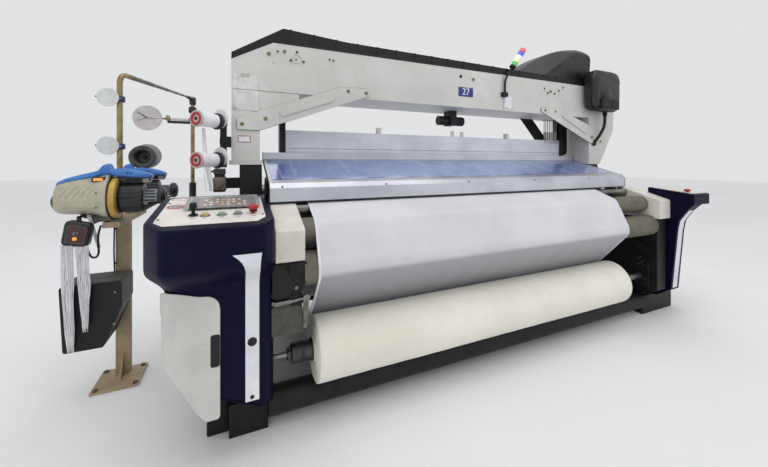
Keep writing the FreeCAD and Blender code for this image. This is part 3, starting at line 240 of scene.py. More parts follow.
def woven(name, colour, second, thread=0.0016):
    """Plain weave: threads both ways along the piece's own UV map, which is in metres. The real threads are
    about 0.3 mm apart; they are drawn coarser so that they show."""
    material = finish(name, colour, second, patch=0.5, rough=0.72, grain=0.01, depth=0.0003,
        Sheen_Weight=0.35)
    tree = material.node_tree
    shader = tree.nodes["Principled BSDF"]
    across = add(material, "UVMap", uv_map="cut").outputs["UV"]
    warp_way = add(material, "TexWave", {"Vector": across, "Scale": 0.314 / thread}, bands_direction="X")
    weft_way = add(material, "TexWave", {"Vector": across, "Scale": 0.314 / thread}, bands_direction="Y")
    both = add(material, "Math", {0: warp_way.outputs["Fac"], 1: weft_way.outputs["Fac"]}, operation="ADD")
    drawn = add(material, "Mapping", {"Vector": across, "Scale": (3, 260, 1)})
    slub = add(material, "TexNoise", {"Vector": drawn.outputs["Vector"], "Scale": 1.0, "Detail": 4.0})
    height = add(material, "Math", {0: slub.outputs["Fac"], 1: both.outputs["Value"]}, operation="ADD")
    bump = add(material, "Bump", {"Height": height.outputs["Value"], "Distance": 0.00012, "Strength": 0.5})
    tree.links.new(bump.outputs["Normal"], shader.inputs["Normal"])
    return material


cloth_white = woven("polyester_cloth", "#d7d7db", "#cdcdd2")
roll_white = woven("rolled_cloth", "#efece0", "#e4e1d4")


# --- mesh code ---
def skin(points, wrap_u=False, wrap_v=False, cap=False):
    """Quads over a grid of points with shape (rows, columns, 3); wrap closes the columns or rows, cap fills
    both ends."""
    rows, columns = points.shape[:2]
    index = np.arange(rows * columns).reshape(rows, columns)
    first, last = index[0].tolist()[::-1], index[-1].tolist()
    if wrap_u:
        index = np.vstack([index, index[:1]])
    if wrap_v:
        index = np.hstack([index, index[:, :1]])
    quads = np.stack([index[:-1, :-1], index[:-1, 1:], index[1:, 1:], index[1:, :-1]], -1).reshape(-1,
        4).tolist()
    return points.reshape(-1, 3), quads + ([first, last] if cap else [])


def together(parts):
    """Several (points, faces) meshes as one."""
    points, faces, count = [], [], 0
    for spots, quads in parts:
        points.append(np.asarray(spots, float))
        faces += [[i + count for i in face] for face in quads]
        count += len(spots)
    return np.vstack(points), faces


def slab(outline, axis, low, high, edge=0.0):
    """An outline carried along an axis from low to high, with its rims drawn in by edge."""
    flat = np.asarray(outline, float)
    centre = flat.mean(0)
    reach = np.abs(flat - centre).max(0)
    small = centre + (flat - centre) * (1 - edge / np.maximum(reach, 1e-9))
    heights = [low, low + edge, high - edge, high] if edge else [low, high]
    shapes = [small, flat, flat, small] if edge else [flat, flat]
    grid = np.zeros((len(heights), len(flat), 3))
    a, b = [k for k in range(3) if k != axis]
    for row, (height, shape) in enumerate(zip(heights, shapes)):
        grid[row, :, a], grid[row, :, b], grid[row, :, axis] = shape[:, 0], shape[:, 1], height
    return skin(grid, wrap_v=True, cap=True)


def brick(low, high, edge=0.0):
    (x0, y0, z0), (x1, y1, z1) = low, high
    return slab([(x0, y0), (x1, y0), (x1, y1), (x0, y1)], 2, z0, z1, edge)


def basis(direction):
    """Two unit vectors square to a direction."""
    d = np.asarray(direction, float) / np.linalg.norm(direction)
    side = np.cross(d, (0, 0, 1.0) if abs(d[2]) < 0.9 else (1.0, 0, 0))
    side /= np.linalg.norm(side)
    return d, side, np.cross(d, side)


def lathe(profile, origin, direction, sides=40, ripple=None):
    """A profile of (height, radius) turned round an axis; ripple(height, angle) is added to the radius."""
    d, e, f = basis(direction)
    heights, radii = np.asarray(profile, float).T
    turn = np.linspace(0, 2 * math.pi, sides, endpoint=False)
    radius = np.maximum(radii[:, None], 1e-5) + (ripple(heights[:, None], turn[None]) if ripple else 0)
    ring = np.cos(turn)[None, :, None] * e + np.sin(turn)[None, :, None] * f
    return skin(np.asarray(origin) + heights[:, None, None] * d + radius[:, :, None] * ring, wrap_v=True,
        cap=True)


def tube(path, radius, sides=14):
    """A round bar along a path: rings square to the path's direction, carried without twist."""
    path = np.asarray(path, float)
    ahead = np.gradient(path, axis=0)
    ahead /= np.linalg.norm(ahead, axis=1)[:, None]
    side = np.zeros_like(path)
    side[0] = basis(ahead[0])[1]
    for k in range(1, len(path)):
        kept = side[k - 1] - ahead[k] * (side[k - 1] @ ahead[k])
        side[k] = kept / np.linalg.norm(kept)
    up = np.cross(ahead, side)
    turn = np.linspace(0, 2 * math.pi, sides, endpoint=False)
    ring = np.cos(turn)[None, :, None] * side[:, None] + np.sin(turn)[None, :, None] * up[:, None]
    radii = np.broadcast_to(np.asarray(radius, float), len(path))
    return skin(path[:, None] + radii[:, None, None] * ring, wrap_v=True, cap=True)


def bent(corners, reach=0.05, steps=8):
    """Straight runs with rounded corners, each a quadratic curve that starts and ends reach from its
    corner."""
    corners = np.asarray(corners, float)
    line = [corners[:1]]
    for before, here, after in zip(corners, corners[1:], corners[2:]):
        back, ahead = (before - here), (after - here)
        near = min(reach, np.linalg.norm(back) / 2.1, np.linalg.norm(ahead) / 2.1)
        start = here + back / np.linalg.norm(back) * near
        end = here + ahead / np.linalg.norm(ahead) * near
        t = np.linspace(0, 1, steps)[:, None]
        line.append((1 - t) ** 2 * start + 2 * t * (1 - t) * here + t ** 2 * end)
    return np.vstack(line + [corners[-1:]])


def rounded(points, radius, steps=5):
    """A closed outline with each corner rounded by a quadratic curve."""
    points = np.asarray(points, float)
    line = []
    for before, here, after in zip(np.roll(points, 1, 0), points, np.roll(points, -1, 0)):
        start = here + (before - here) / np.linalg.norm(before - here) * radius
        end = here + (after - here) / np.linalg.norm(after - here) * radius
        t = np.linspace(0, 1, steps)[:, None]
        line.append((1 - t) ** 2 * start + 2 * t * (1 - t) * here + t ** 2 * end)
    return np.vstack(line)


def piece(name, parts, material, body="loom", bevel=0.0, replaces=(), slot=None, closed=True, smooth=40,
        uv=None):
    """Makes one object from (points, faces) meshes, with smooth shading up to an angle, and puts it on its
    body."""
    points, faces = together(parts) if isinstance(parts, list) else parts
    data = bpy.data.meshes.new(name)
    data.from_pydata(np.asarray(points).tolist(), [], faces)
    thing = bpy.data.objects.new(name, data)
    bpy.context.scene.collection.objects.link(thing)
    if closed:
        work = bmesh.new()
        work.from_mesh(data)
        bmesh.ops.recalc_face_normals(work, faces=work.faces)
        work.to_mesh(data)
        work.free()
    if uv is not None:
        layer = data.uv_layers.new(name="cut")
        corner = np.zeros(len(data.loops), int)
        data.loops.foreach_get("vertex_index", corner)
        layer.data.foreach_set("uv", uv[corner].astype(np.float32).ravel())
    data.shade_smooth()
    data.set_sharp_from_angle(angle=math.radians(smooth))
    data.materials.append(material)
    if bevel:
        rounding = thing.modifiers.new("rounding", "BEVEL")
        rounding.width = bevel
        rounding.segments = 2
        rounding.limit_method = "ANGLE"
        rounding.angle_limit = math.radians(35)
    if body:
        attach(thing, body)
    if replaces:
        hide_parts(*replaces)
    return thing


def paint(material, *names):
    """Gives CAD nodes a better finish."""
    for name in names:
        slots = nodes[name].data.materials
        if len(slots):
            for k in range(len(slots)):
                slots[k] = material
        else:
            slots.append(material)


def corners(node):
    low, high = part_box(node)
    return np.array(low), np.array(high)


floor = piece("floor", skin(np.stack(np.meshgrid(np.linspace(-30, 30, 2), np.linspace(-30, 30, 2), [0.0]),
    -1) .reshape(2, 2, 3)), finish("studio_floor", "#f3f3f3", "#efefef", patch=3.0, rough=0.8), body=None,
    closed=False)
floor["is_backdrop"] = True

# --- finishes of the CAD nodes ---
paint(cast_black, "side_frame_left", "side_frame_right", "front_tie_tube", "rear_tie_beam", "breast_beam",
    "post_brackets", "drive_units", "sley")
paint(navy, "console_left", "console_right")
paint(door_grey, "console_door")
paint(cream, "cover_left", "cover_right")
paint(grey_sheet, "girder", "post_left", "post_right", "gusset_left", "gusset_right")
paint(abs_black, "girder_lid", "hood", "heald_guides", "stand_box", "sensor_box", "joystick")
paint(vinyl, "harness_motor")
paint(rubber, "take_up_roller", "press_roller")
paint(steel, "breast_roller", "back_rest_roller")
paint(dull_steel, "back_rest_arms")
paint(aluminium, "breast_cover")
paint(heald_alloy, *[f"heald_frame_{k}" for k in range(1, 5)])
paint(laminate, "console_panel", "panel_right")
paint(red, "estop_left", "estop_right")
paint(yellow, "button_yellow")
paint(green, "button_green")
paint(clear_grey, "button_grey")
paint(beige_rust, "stand_post")
paint(brass, "gate_tube")
paint(feeder_grey, "feeder_front", "feeder_rear")
paint(ring_yellow, "feeder_front_ring", "feeder_rear_ring")
paint(disc_pale, "yarn_holders")
paint(yarn_white, "bobbin_upper", "bobbin_lower", "warp_beam")
paint(yarn_white, "yarn_tails", "cloth_sheet", "warp_sheet", "cloth_roll")
paint(finish("clear_polycarbonate", "#cfd6d6", "#bfc7c7", patch=0.05, rough=0.12, grain=0.004, depth=0.0001,
    Alpha=0.25), "screen_flap")
paint(abs_black, "motor_conduit", "sensor_cable", "signal_lamp")

# --- cloth on its path: breast roller, press roller, draw roller and cloth roll ---
cloth_l, cloth_r = (corner[0] for corner in corners("cloth_sheet"))
GAP = 0.0008


def belt(stations, step=0.008):
    """The line of a sheet past rollers in the YZ plane: (y, z, radius, side) with side 1 where the roller is
    on the right, -1 on the left and 0 for a point. Tangent runs are joined by arcs and then divided
    evenly."""
    centres = np.array([s[:2] for s in stations], float)
    offsets = np.array([s[3] * (s[2] + GAP) for s in stations], float)
    ahead = np.diff(centres, axis=0)
    length = np.linalg.norm(ahead, axis=1)[:, None]
    ahead = ahead / length
    across = np.stack([-ahead[:, 1], ahead[:, 0]], 1)
    ratio = (offsets[:-1] - offsets[1:])[:, None] / length
    normal = ahead * ratio + across * np.sqrt(1 - ratio ** 2)
    leave = centres[:-1] + normal * offsets[:-1, None]
    reach = centres[1:] + normal * offsets[1:, None]
    line = [leave[:1], reach[:1]]
    for k in range(1, len(length)):
        first = math.atan2(*(reach[k - 1] - centres[k])[::-1])
        turn = (math.atan2(*(leave[k] - centres[k])[::-1]) - first + math.pi) % (2 * math.pi) - math.pi
        angle = first + np.linspace(0, turn, 16)[1:-1]
        line += [centres[k] + abs(offsets[k]) * np.stack([np.cos(angle), np.sin(angle)], 1), leave[k:k + 1],
            reach[k:k + 1]]
    line = np.vstack(line)
    along = np.append(0, np.cumsum(np.linalg.norm(np.diff(line, axis=0), axis=1)))
    even = np.linspace(0, along[-1], int(along[-1] / step))
    return np.stack([np.interp(even, along, line[:, 0]), np.interp(even, along, line[:, 1])], 1), along[-1]


def hung_cloth(name, line, length, low_x, high_x, material, slack, columns=180, **options):
    """A sheet whose cross-section is one line in the YZ plane; slack(x, s) moves it along its own normal."""
    across = np.linspace(low_x, high_x, columns)
    ahead = np.gradient(line, axis=0)
    ahead /= np.linalg.norm(ahead, axis=1)[:, None]
    along = np.linspace(0, length, len(line))
    move = slack(across[None], along[:, None])
    grid = np.zeros((len(line), columns, 3))
    grid[..., 0] = across
    grid[..., 1] = line[:, None, 0] - ahead[:, None, 1] * move
    grid[..., 2] = line[:, None, 1] + ahead[:, None, 0] * move
    uv = np.stack(np.broadcast_arrays(across[None], along[:, None]), -1).reshape(-1, 2)
    thing = piece(name, skin(grid), material, closed=False, uv=uv, smooth=80, **options)
    thick = thing.modifiers.new("thickness", "SOLIDIFY")
    thick.thickness = 0.0008
    thick.offset = 0
    return thing


ROLLERS = [(-0.490, 1.000, 0.035), (-0.620, 0.915, 0.065), (-0.680, 0.750, 0.080), (-0.630, 0.330, 0.155)]
cloth_line, cloth_length = belt([(-0.190, 1.035, 0, 0)] + [(*r, -1) for r in ROLLERS[:3]]
    + [(*ROLLERS[3], 1)])
WAVES = [(RANDOM.uniform(9, 46), RANDOM.uniform(-7, 7), RANDOM.uniform(0, 6.3), RANDOM.uniform(0.2, 1))
    for _ in range(9)]


def cloth_slack(x, s):
    """Long soft draw lines that fan down the free runs, and nothing where the cloth lies on a roller."""
    free = np.zeros_like(s)
    for low_s, high_s in ((0.02, 0.27), (0.72, cloth_length - 0.06)):
        share = np.clip((s - low_s) / (high_s - low_s), 0, 1)
        free = free + np.sin(math.pi * share) ** 2
    total = sum(size * np.sin(x * pace + s * slant + start) for pace, slant, start, size in WAVES)
    return 0.0006 * free * total


# The run below the draw roller is painted greyer than the run above it, and darker still further down:
# painted shade on the run that faces the floor.
fold_at = cloth_length * np.argmin(cloth_line[:, 0]) / (len(cloth_line) - 1)
shader = cloth_white.node_tree.nodes["Principled BSDF"]
unshaded_cloth_colour = shader.inputs["Base Color"].links[0].from_socket
run = add(cloth_white, "SeparateXYZ", {"Vector": add(cloth_white, "UVMap",
    uv_map="cut").outputs["UV"]}).outputs["Y"]
below = add(cloth_white, "MapRange", {"Value": run, "From Min": fold_at + 0.010, "From Max": fold_at + 0.035})
painted_shade_ramp = add(cloth_white, "MapRange", {"Value": run, "From Min": fold_at + 0.03, "From Max": fold_at + 0.33,
    "To Min": 0.0, "To Max": 1.0})
painted_shade_greys = add(cloth_white, "Mix", {0: painted_shade_ramp.outputs["Result"], 6: linear("#a3a3a8"), 7: linear("#85858b")},
    data_type="RGBA")
tone = add(cloth_white, "Mix", {0: below.outputs["Result"], 6: unshaded_cloth_colour, 7: painted_shade_greys.outputs[2]}, data_type="RGBA")
cloth_white.node_tree.links.new(tone.outputs[2], shader.inputs["Base Color"])
cloth = hung_cloth("cloth", cloth_line, cloth_length, cloth_l, cloth_r, cloth_white, cloth_slack,
    replaces=("cloth_sheet",), slot="cloth")
for name, x0 in (("selvedge_left", cloth_l), ("selvedge_right", cloth_r - 0.012)):
    band, band_length = belt([(-0.190, 1.0358, 0, 0)] + [(r[0], r[1], r[2] + 0.0009, -1)
        for r in ROLLERS[:3]] + [(-0.630, 0.330, 0.1541, 1)])
    hung_cloth(name, band, band_length, x0, x0 + 0.012, stripe_white, lambda x, s: 0 * x * s, columns=4)


# --- the roll of woven cloth, its core tube, chuck and shaft ---
def roll_lumps(x, angle):
    return (0.0005 * np.sin(3 * angle + 5 * x) + 0.0004 * np.sin(11 * x + 1.7) * np.cos(2 * angle) + 0.00035
        * np.sin(37 * x + 4 * angle))


face_radii = np.linspace(0.062, 0.1515, 46)
face_out = 0.0012 * np.sin(np.arange(46) * 2.1) + 0.0012 * np.sin(np.arange(46) * 0.63)
left_face = np.stack([cloth_l + 0.004 + face_out, face_radii], 1)
right_face = np.stack([cloth_r - 0.004 + face_out[::-1], face_radii[::-1]], 1)
body_x = np.linspace(cloth_l + 0.006, cloth_r - 0.006, 120)
body = np.stack([body_x, np.full(120, 0.1540)], 1)
piece("cloth_roll_wound", lathe(np.vstack([[(cloth_l + 0.02, 0.0615)], left_face, body, right_face,
    [(cloth_r - 0.02, 0.0615)]]), (0, -0.630, 0.330), (1, 0, 0), 96, roll_lumps), roll_white, "cloth_beam",
    replaces=("cloth_roll",), slot="cloth_roll", smooth=60)
for name, end, out in (("left", cloth_l, -1), ("right", cloth_r, 1)):
    ring = [(end + out * h, r) for h, r in ((-0.03, 0.0612), (0.004, 0.0612), (0.006, 0.0600),
        (0.006, 0.0545), (0.004, 0.0535), (-0.02, 0.0535))]
    piece(f"roll_core_{name}", lathe(ring, (0, -0.630, 0.330), (1, 0, 0), 64), paper, "cloth_beam", smooth=50)
chuck = [(cloth_l - 0.006, 0.053), (cloth_l - 0.012, 0.053), (cloth_l - 0.014, 0.0505),
    (cloth_l - 0.022, 0.0455), (cloth_l - 0.052, 0.0455), (cloth_l - 0.054, 0.049), (cloth_l - 0.060, 0.049),
    (cloth_l - 0.062, 0.0455), (-1.065, 0.0455), (-1.068, 0.041), (-1.070, 0.030), (-1.085, 0.028),
    (-1.087, 0.0155)]
piece("roll_chuck", lathe([(cloth_l + 0.015, 0.053)] + chuck, (0, -0.630, 0.330), (1, 0, 0), 48), dull_steel,
    "cloth_beam")
piece("roll_shaft_left", lathe([(-1.219, 0.0135), (-1.217, 0.0148), (-1.10, 0.0148), (-1.08, 0.0148)],
    (0, -0.630, 0.330), (1, 0, 0), 28), steel, "cloth_beam")
piece("roll_shaft_right", lathe([(cloth_r - 0.015, 0.052), (cloth_r + 0.010, 0.052), (cloth_r + 0.012, 0.031),
    (1.700, 0.0295), (1.716, 0.0295), (1.72, 0.0148), (1.809, 0.0148)], (0, -0.630, 0.330), (1, 0, 0), 40),
    steel, "cloth_beam")
screws_at = [(0.034 * math.cos(a), 0.034 * math.sin(a)) for a in np.linspace(0, 2 * math.pi, 5)[:-1] + 0.4]
piece("chuck_keys", [lathe([(-1.0715, 0.0055), (-1.0745, 0.0055), (-1.076, 0.004)],
    (0, -0.630 + a, 0.330 + b), (1, 0, 0), 12) for a, b in screws_at], steel, "cloth_beam")

# --- warp: from the beam over the back rest to the fell ---
rest = (0.845, 1.000, 0.060)
warp_line = belt([(0.430, 0.520, 0.330, -1), (*rest, -1), (-0.190, 1.0345, 0, 0)])[0]
lean = int(np.argmax(warp_line[:, 0] + warp_line[:, 1]))


def warp_sag(x, s):
    return 0.0006 * np.sin(x * 41 + s * 2) + 0.0005 * np.sin(x * 97 + 1)


for name, rows, start, end in (("warp_behind", slice(0, lean + 1), (0, 0.70, 0.62), (0, 0.86, 0.98)),
        ("warp_over", slice(lean, None), (0, 0.10, 1.03), (0, 0.80, 1.05))):
    part = warp_line[rows]
    run = np.linalg.norm(np.diff(part, axis=0), axis=1).sum()
    sheet = hung_cloth(name, part, run, cloth_l + 0.004, cloth_r - 0.004, warp_yarn, warp_sag, columns=220,
        body=None, replaces=("warp_sheet",), slot="yarn")
    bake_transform(sheet)


def beam_lumps(x, angle):
    return 0.0012 * np.sin(x * 160) + 0.0006 * np.sin(5 * angle + 9 * x)


beam_x = np.linspace(cloth_l - 0.024, cloth_r + 0.024, 260)
piece("warp_wound", lathe(np.stack([beam_x, np.full(260, 0.3282)], 1), (0, 0.430, 0.520), (1, 0, 0), 96,
    beam_lumps), yarn_white, "warp", replaces=("warp_beam",), slot="yarn", smooth=60)
flange = [(-0.0100, 0.09), (-0.0100, 0.12), (-0.004, 0.14), (-0.004, 0.34), (-0.0100, 0.36), (-0.0100, 0.376),
    (-0.007, 0.3795), (0.007, 0.3795), (0.0100, 0.376), (0.0100, 0.36), (0.004, 0.34), (0.004, 0.14),
    (0.0100, 0.12), (0.0100, 0.09)]
for name, x in (("left", cloth_l - 0.035), ("right", cloth_r + 0.035)):
    turned_ribs = []
    for a in np.arange(12) * math.pi / 6:
        points, faces = slab([(-0.0035, 0.10), (0.0035, 0.10), (0.0035, 0.372), (-0.0035, 0.372)], 0,
            x - 0.0095, x + 0.0095)
        y, z = points[:, 1].copy(), points[:, 2].copy()
        points[:, 1] = 0.430 + y * math.cos(a) - z * math.sin(a)
        points[:, 2] = 0.520 + y * math.sin(a) + z * math.cos(a)
        turned_ribs.append((points, faces))
    piece(f"beam_flange_{name}", [lathe([(x + h, r) for h, r in flange], (0, 0.430, 0.520), (1, 0, 0), 96)]
        + turned_ribs, heald_alloy, "warp")
for name, x0, x1 in (("left", -1.219, cloth_l - 0.044), ("right", cloth_r + 0.044, 1.809)):
    piece(f"beam_shaft_{name}", lathe([(x0, 0.032), (x0 + 0.003, 0.0348), (x1 - 0.003, 0.0348), (x1, 0.0345)],
        (0, 0.430, 0.520), (1, 0, 0), 40), steel, "warp")

# --- healds, reed, harness ---
for k in range(1, 5):
    low, high = corners(f"heald_frame_{k}")
    y = (low[1] + high[1]) / 2
    window_low, window_high = low[2] + 0.058, low[2] + 0.462
    across = np.linspace(low[0] + 0.034, high[0] - 0.034, 150)
    wires = [brick((x - 0.0007, y - 0.0012, window_low), (x + 0.0007, y + 0.0012, window_high))
        for x in across]
    eyes = [brick((x - 0.0016, y - 0.0022, low[2] + 0.250), (x + 0.0016, y + 0.0022, low[2] + 0.266))
        for x in across]
    piece(f"heald_wires_{k}", wires + eyes, steel, f"heald_{k}")
    lips = [brick((low[0] + 0.002, low[1] - 0.0012, z), (high[0] - 0.002, high[1] + 0.0012, z + 0.006))
        for z in (low[2] + 0.464, low[2] + 0.510, low[2] + 0.004, low[2] + 0.05)]
    ends = [brick((x, low[1] - 0.0015, low[2] + 0.1), (x + 0.016, high[1] + 0.0015, low[2] + 0.4))
        for x in (low[0] + 0.004, high[0] - 0.020)]
    caps = [brick((0.295 + x / 1000 - 0.013, low[1] - 0.002, low[2] + 0.520),
        (0.295 + x / 1000 + 0.013, high[1] + 0.002, low[2] + 0.5655), 0.001)
        for x in (-620, 40 + 60 * (k - 1), 640)]
    rails = [brick((low[0] + 0.002, low[1] - 0.0008, z), (high[0] - 0.002, high[1] + 0.0008, z + 0.062),
        0.001) for z in (low[2] + 0.336, low[2] + 0.400)]
    piece(f"heald_trim_{k}", lips + ends + rails, heald_alloy, f"heald_{k}")
    piece(f"heald_hooks_{k}", caps, laminate, f"heald_{k}", bevel=0.001)
reed_x = np.linspace(-0.978, 1.568, 420)
piece("reed_wires", [brick((x - 0.0006, -0.072, 0.984), (x + 0.0006, -0.063, 1.086)) for x in reed_x], steel,
    "sley_body")
piece("reed_caps", [brick((-1.001, -0.0765, z), (1.591, -0.0585, z + 0.014), 0.002) for z in (0.968, 1.0975)],
    aluminium, "sley_body")

# Harness springs and their bracket, under the right end of the girder. The bracket's rounded dark plate
# stands in front of the right post's inner side as painted shade.
piece("harness_bracket_and_painted_shade", [slab([(1.140, 1.672), (1.290, 1.672), (1.560, 1.400), (1.560, 1.330),
    (1.470, 1.330)], 1, 0.060, 0.072, 0.002), slab(rounded([(1.560, 1.660), (1.735, 1.660), (1.735, 1.340),
    (1.600, 1.310)], 0.02), 1, 0.030, 0.058, 0.004)], cast_black, bevel=0.003)
spring_x = np.linspace(1.400, 1.565, 8)
piece("harness_springs", [lathe([(k * 0.004, 0.0075 if k % 2 else 0.0060) for k in range(28)],
    (x, 0.020, 1.440), (0, 0, 1), 12) for x in spring_x] + [lathe([(0, 0.0035), (0.23, 0.0035)],
    (x, 0.020, 1.440), (0, 0, 1), 8) for x in spring_x], steel, smooth=60)

# --- breast cover: film on the slope, edge strips, end plate ---
slope_start, slope_end = np.array([-0.478, 1.146]), np.array([-0.030, 1.276])
slope_run = (slope_end - slope_start) / np.linalg.norm(slope_end - slope_start)
slope_up = np.array([-slope_run[1], slope_run[0]])


def on_slope(x0, x1, low, high, thick, columns=2, wave=0.0):
    """A thin strip that lies on the cover's slope, from low to high along it, in metres from its front
    edge."""
    across, along = np.linspace(x0, x1, columns), np.array([low, (low + high) / 2, high])
    rise = 0.0004 + wave * (1 + np.sin(across[None] * 23 + along[:, None] * 40)) * 0.5
    places = []
    for extra in (0.0, thick):
        grid = np.zeros((3, columns, 3))
        grid[..., 0] = across
        for k in (0, 1):
            grid[..., k + 1] = slope_start[k] + slope_run[k] * along[:, None] + slope_up[k] * (rise + extra)
        places.append(grid)
    loop = np.concatenate([places[0], places[1][::-1]], 0)
    return skin(loop.transpose(1, 0, 2), wrap_v=True, cap=True)


film = finish("blue_film", "#6b7fb8", "#8d9cc9", patch=0.16, share=(0.35, 0.7), rough=0.16, grain=0.06,
    depth=0.002, stretch=(0.5, 1.4, 1), Coat_Weight=0.5)
place = add(film, "TexCoord").outputs["Object"]
# Slanted pale streaks mixed over the blue: painted reflections on the film.
slanted = add(film, "Mapping", {"Vector": place, "Rotation": (0, 0, math.radians(38)), "Scale": (34, 3, 1)})
streaks = add(film, "TexNoise", {"Vector": slanted.outputs["Vector"], "Scale": 1.0, "Detail": 4.0,
    "Roughness": 0.6})
lit = add(film, "MapRange", {"Value": streaks.outputs["Fac"], "From Min": 0.55, "From Max": 0.75,
    "To Max": 0.45})
depth_x = add(film, "SeparateXYZ", {"Vector": place})
middle = add(film, "Math", {0: depth_x.outputs["X"], 1: 0.30}, operation="SUBTRACT")
ends = add(film, "Math", {0: middle.outputs["Value"]}, operation="ABSOLUTE")
edge_dark = add(film, "MapRange", {"Value": ends.outputs["Value"], "From Min": 0.35, "From Max": 1.35,
    "To Max": 0.75})
film_shader = film.node_tree.nodes["Principled BSDF"]
film_base = film_shader.inputs["Base Color"].links[0].from_socket
deep = add(film, "Mix", {0: edge_dark.outputs["Result"], 6: film_base, 7: linear("#4c5f9c")},
    data_type="RGBA")
painted_glare_mix = add(film, "Mix", {0: lit.outputs["Result"], 6: deep.outputs[2], 7: linear("#c3cae4")},
    data_type="RGBA")
film.node_tree.links.new(painted_glare_mix.outputs[2], film_shader.inputs["Base Color"])
piece("cover_film", on_slope(-1.135, 1.735, 0.050, 0.445, 0.0003, 240, 0.0012), film, smooth=80)
piece("cover_band", [on_slope(-1.143, 1.744, 0.448, 0.4655, 0.0012), on_slope(-1.143, 1.744, 0.002, 0.006,
    0.0016)], aluminium)
front_lines = [brick((-1.143, -0.5066, 1.052), (1.744, -0.503, 1.058), 0.0006)]
piece("cover_lower_lip", front_lines, aluminium)
piece("cover_seal", brick((-1.140, -0.500, 1.0425), (1.740, -0.470, 1.0495), 0.001), dark_hole)
cover_shape = np.array([(-0.507, 1.049), (-0.348, 1.049), (-0.348, 1.1665), (-0.017, 1.2625), (-0.017, 1.319),
    (-0.031, 1.319), (-0.031, 1.277), (-0.479, 1.1475), (-0.502, 1.1205)])
piece("cover_end_right", slab(cover_shape, 0, 1.7535, 1.7565), abs_black, bevel=0.001)
piece("cover_end_left", slab(cover_shape, 0, -1.1570, -1.1535), abs_black, bevel=0.001)
piece("cover_end_pad", lathe([(-1.1570, 0.001), (-1.1570, 0.052), (-1.166, 0.058), (-1.169, 0.052),
    (-1.169, 0.001)], (0, -0.405, 1.118), (1, 0, 0), 40), cast_black)
cover_rivets = [(x, -0.5000, 1.128) for x in (-1.09, -0.50, 0.10, 0.70, 1.30, 1.70)]
piece("cover_rivets", [lathe([(0, 0.005), (0.0012, 0.0045), (0.002, 0.002)], (x, y + 0.002, z),
    (0, -0.86, 0.5), 14) for x, y, z in cover_rivets], dull_steel)
stickers = [brick((x, -0.4325, 1.020), (x + 0.046, -0.4308, 1.046), 0.0004) for x in (-1.137, 1.708)]
piece("cover_stickers", stickers, finish("yellow_label", "#d8c11c", "#c4ad19", patch=0.03, rough=0.4,
    grain=0.002, depth=0.00003))

# --- girder: fasteners, openings, labels ---
GIRDER_Y = -0.180


def screw(x, z, r, y=GIRDER_Y - 0.005):
    """A hexagon head with a washer under it and a dimple in its face, pointing at the weaver."""
    washer = lathe([(0, r * 1.25), (0.0014, r * 1.25), (0.0016, r * 1.1)], (x, y + 0.0004, z), (0, -1, 0), 24)
    head = lathe([(0, r), (r * 0.55, r), (r * 0.66, r * 0.86), (r * 0.66, r * 0.5), (r * 0.4, r * 0.42),
        (r * 0.4, 0.0)], (x, y - 0.001, z), (0, -1, 0), 6)
    return [washer, head]


brass_at = [(-1.130, 1.905, 0.009), (-1.040, 1.930, 0.008), (0.390, 1.905, 0.010), (1.345, 1.900, 0.008),
    (1.400, 1.935, 0.008), (1.240, 1.885, 0.010)]
dark_at = [(-0.966, 1.935, 0.006), (-1.004, 1.880, 0.006), (-0.925, 1.880, 0.006), (1.205, 1.868, 0.007),
    (1.290, 1.870, 0.007), (-1.080, 1.925, 0.005), (-0.760, 1.915, 0.005), (-0.735, 1.912, 0.005)]
piece("girder_screws", sum([screw(*spot) for spot in brass_at], []), brass_screw, smooth=30)
piece("girder_screws_dark", sum([screw(*spot) for spot in dark_at], []), dull_steel, smooth=30)
piece("girder_port", [lathe([(0, 0.0270), (0.003, 0.0275), (0.0045, 0.0285), (0.0045, 0.0255),
    (0.002, 0.0245), (-0.012, 0.0245)], (-0.966, GIRDER_Y, 1.895), (0, -1, 0), 40)], grey_sheet)
piece("girder_port_dark", lathe([(0, 0.0262), (0.001, 0.0262)], (-0.966, -0.1735, 1.895), (0, -1, 0), 40),
    dark_hole)
piece("girder_port_screw", sum([screw(-0.970, 1.890, 0.009, -0.1745)], []), brass_screw, smooth=30)
dark_slots = [lathe([(0, r), (0.0006, r), (0.0007, r * 0.9)], (x, GIRDER_Y - 0.0002, z), (0, -1, 0), 24)
    for x, z, r in ((0.272, 1.917, 0.013), (1.170, 1.905, 0.009), (-1.105, 1.855, 0.003))]
piece("girder_dark_holes", dark_slots, dark_hole)


def plate(x0, x1, z0, z1, y, thick=0.0012, corner=0.004):
    """A thin plate with rounded corners that faces the weaver."""
    turn = np.linspace(0, math.pi / 2, 6)
    spots = []
    for k, (cx, cz) in enumerate(((x1 - corner, z1 - corner), (x0 + corner, z1 - corner),
            (x0 + corner, z0 + corner), (x1 - corner, z0 + corner))):
        angle = turn + k * math.pi / 2
        spots.append(np.stack([cx + corner * np.cos(angle), cz + corner * np.sin(angle)], 1))
    return slab(np.vstack(spots), 1, y - thick, y)


def frame_of(x0, x1, z0, z1, y, width, thick=0.0006):
    """Four thin bars round a rectangle, like a printed border."""
    return [plate(x0, x1, z1 - width, z1, y, thick, width / 3), plate(x0, x1, z0, z0 + width, y, thick,
        width / 3), plate(x0, x0 + width, z0, z1, y, thick, width / 3),
        plate(x1 - width, x1, z0, z1, y, thick, width / 3)]


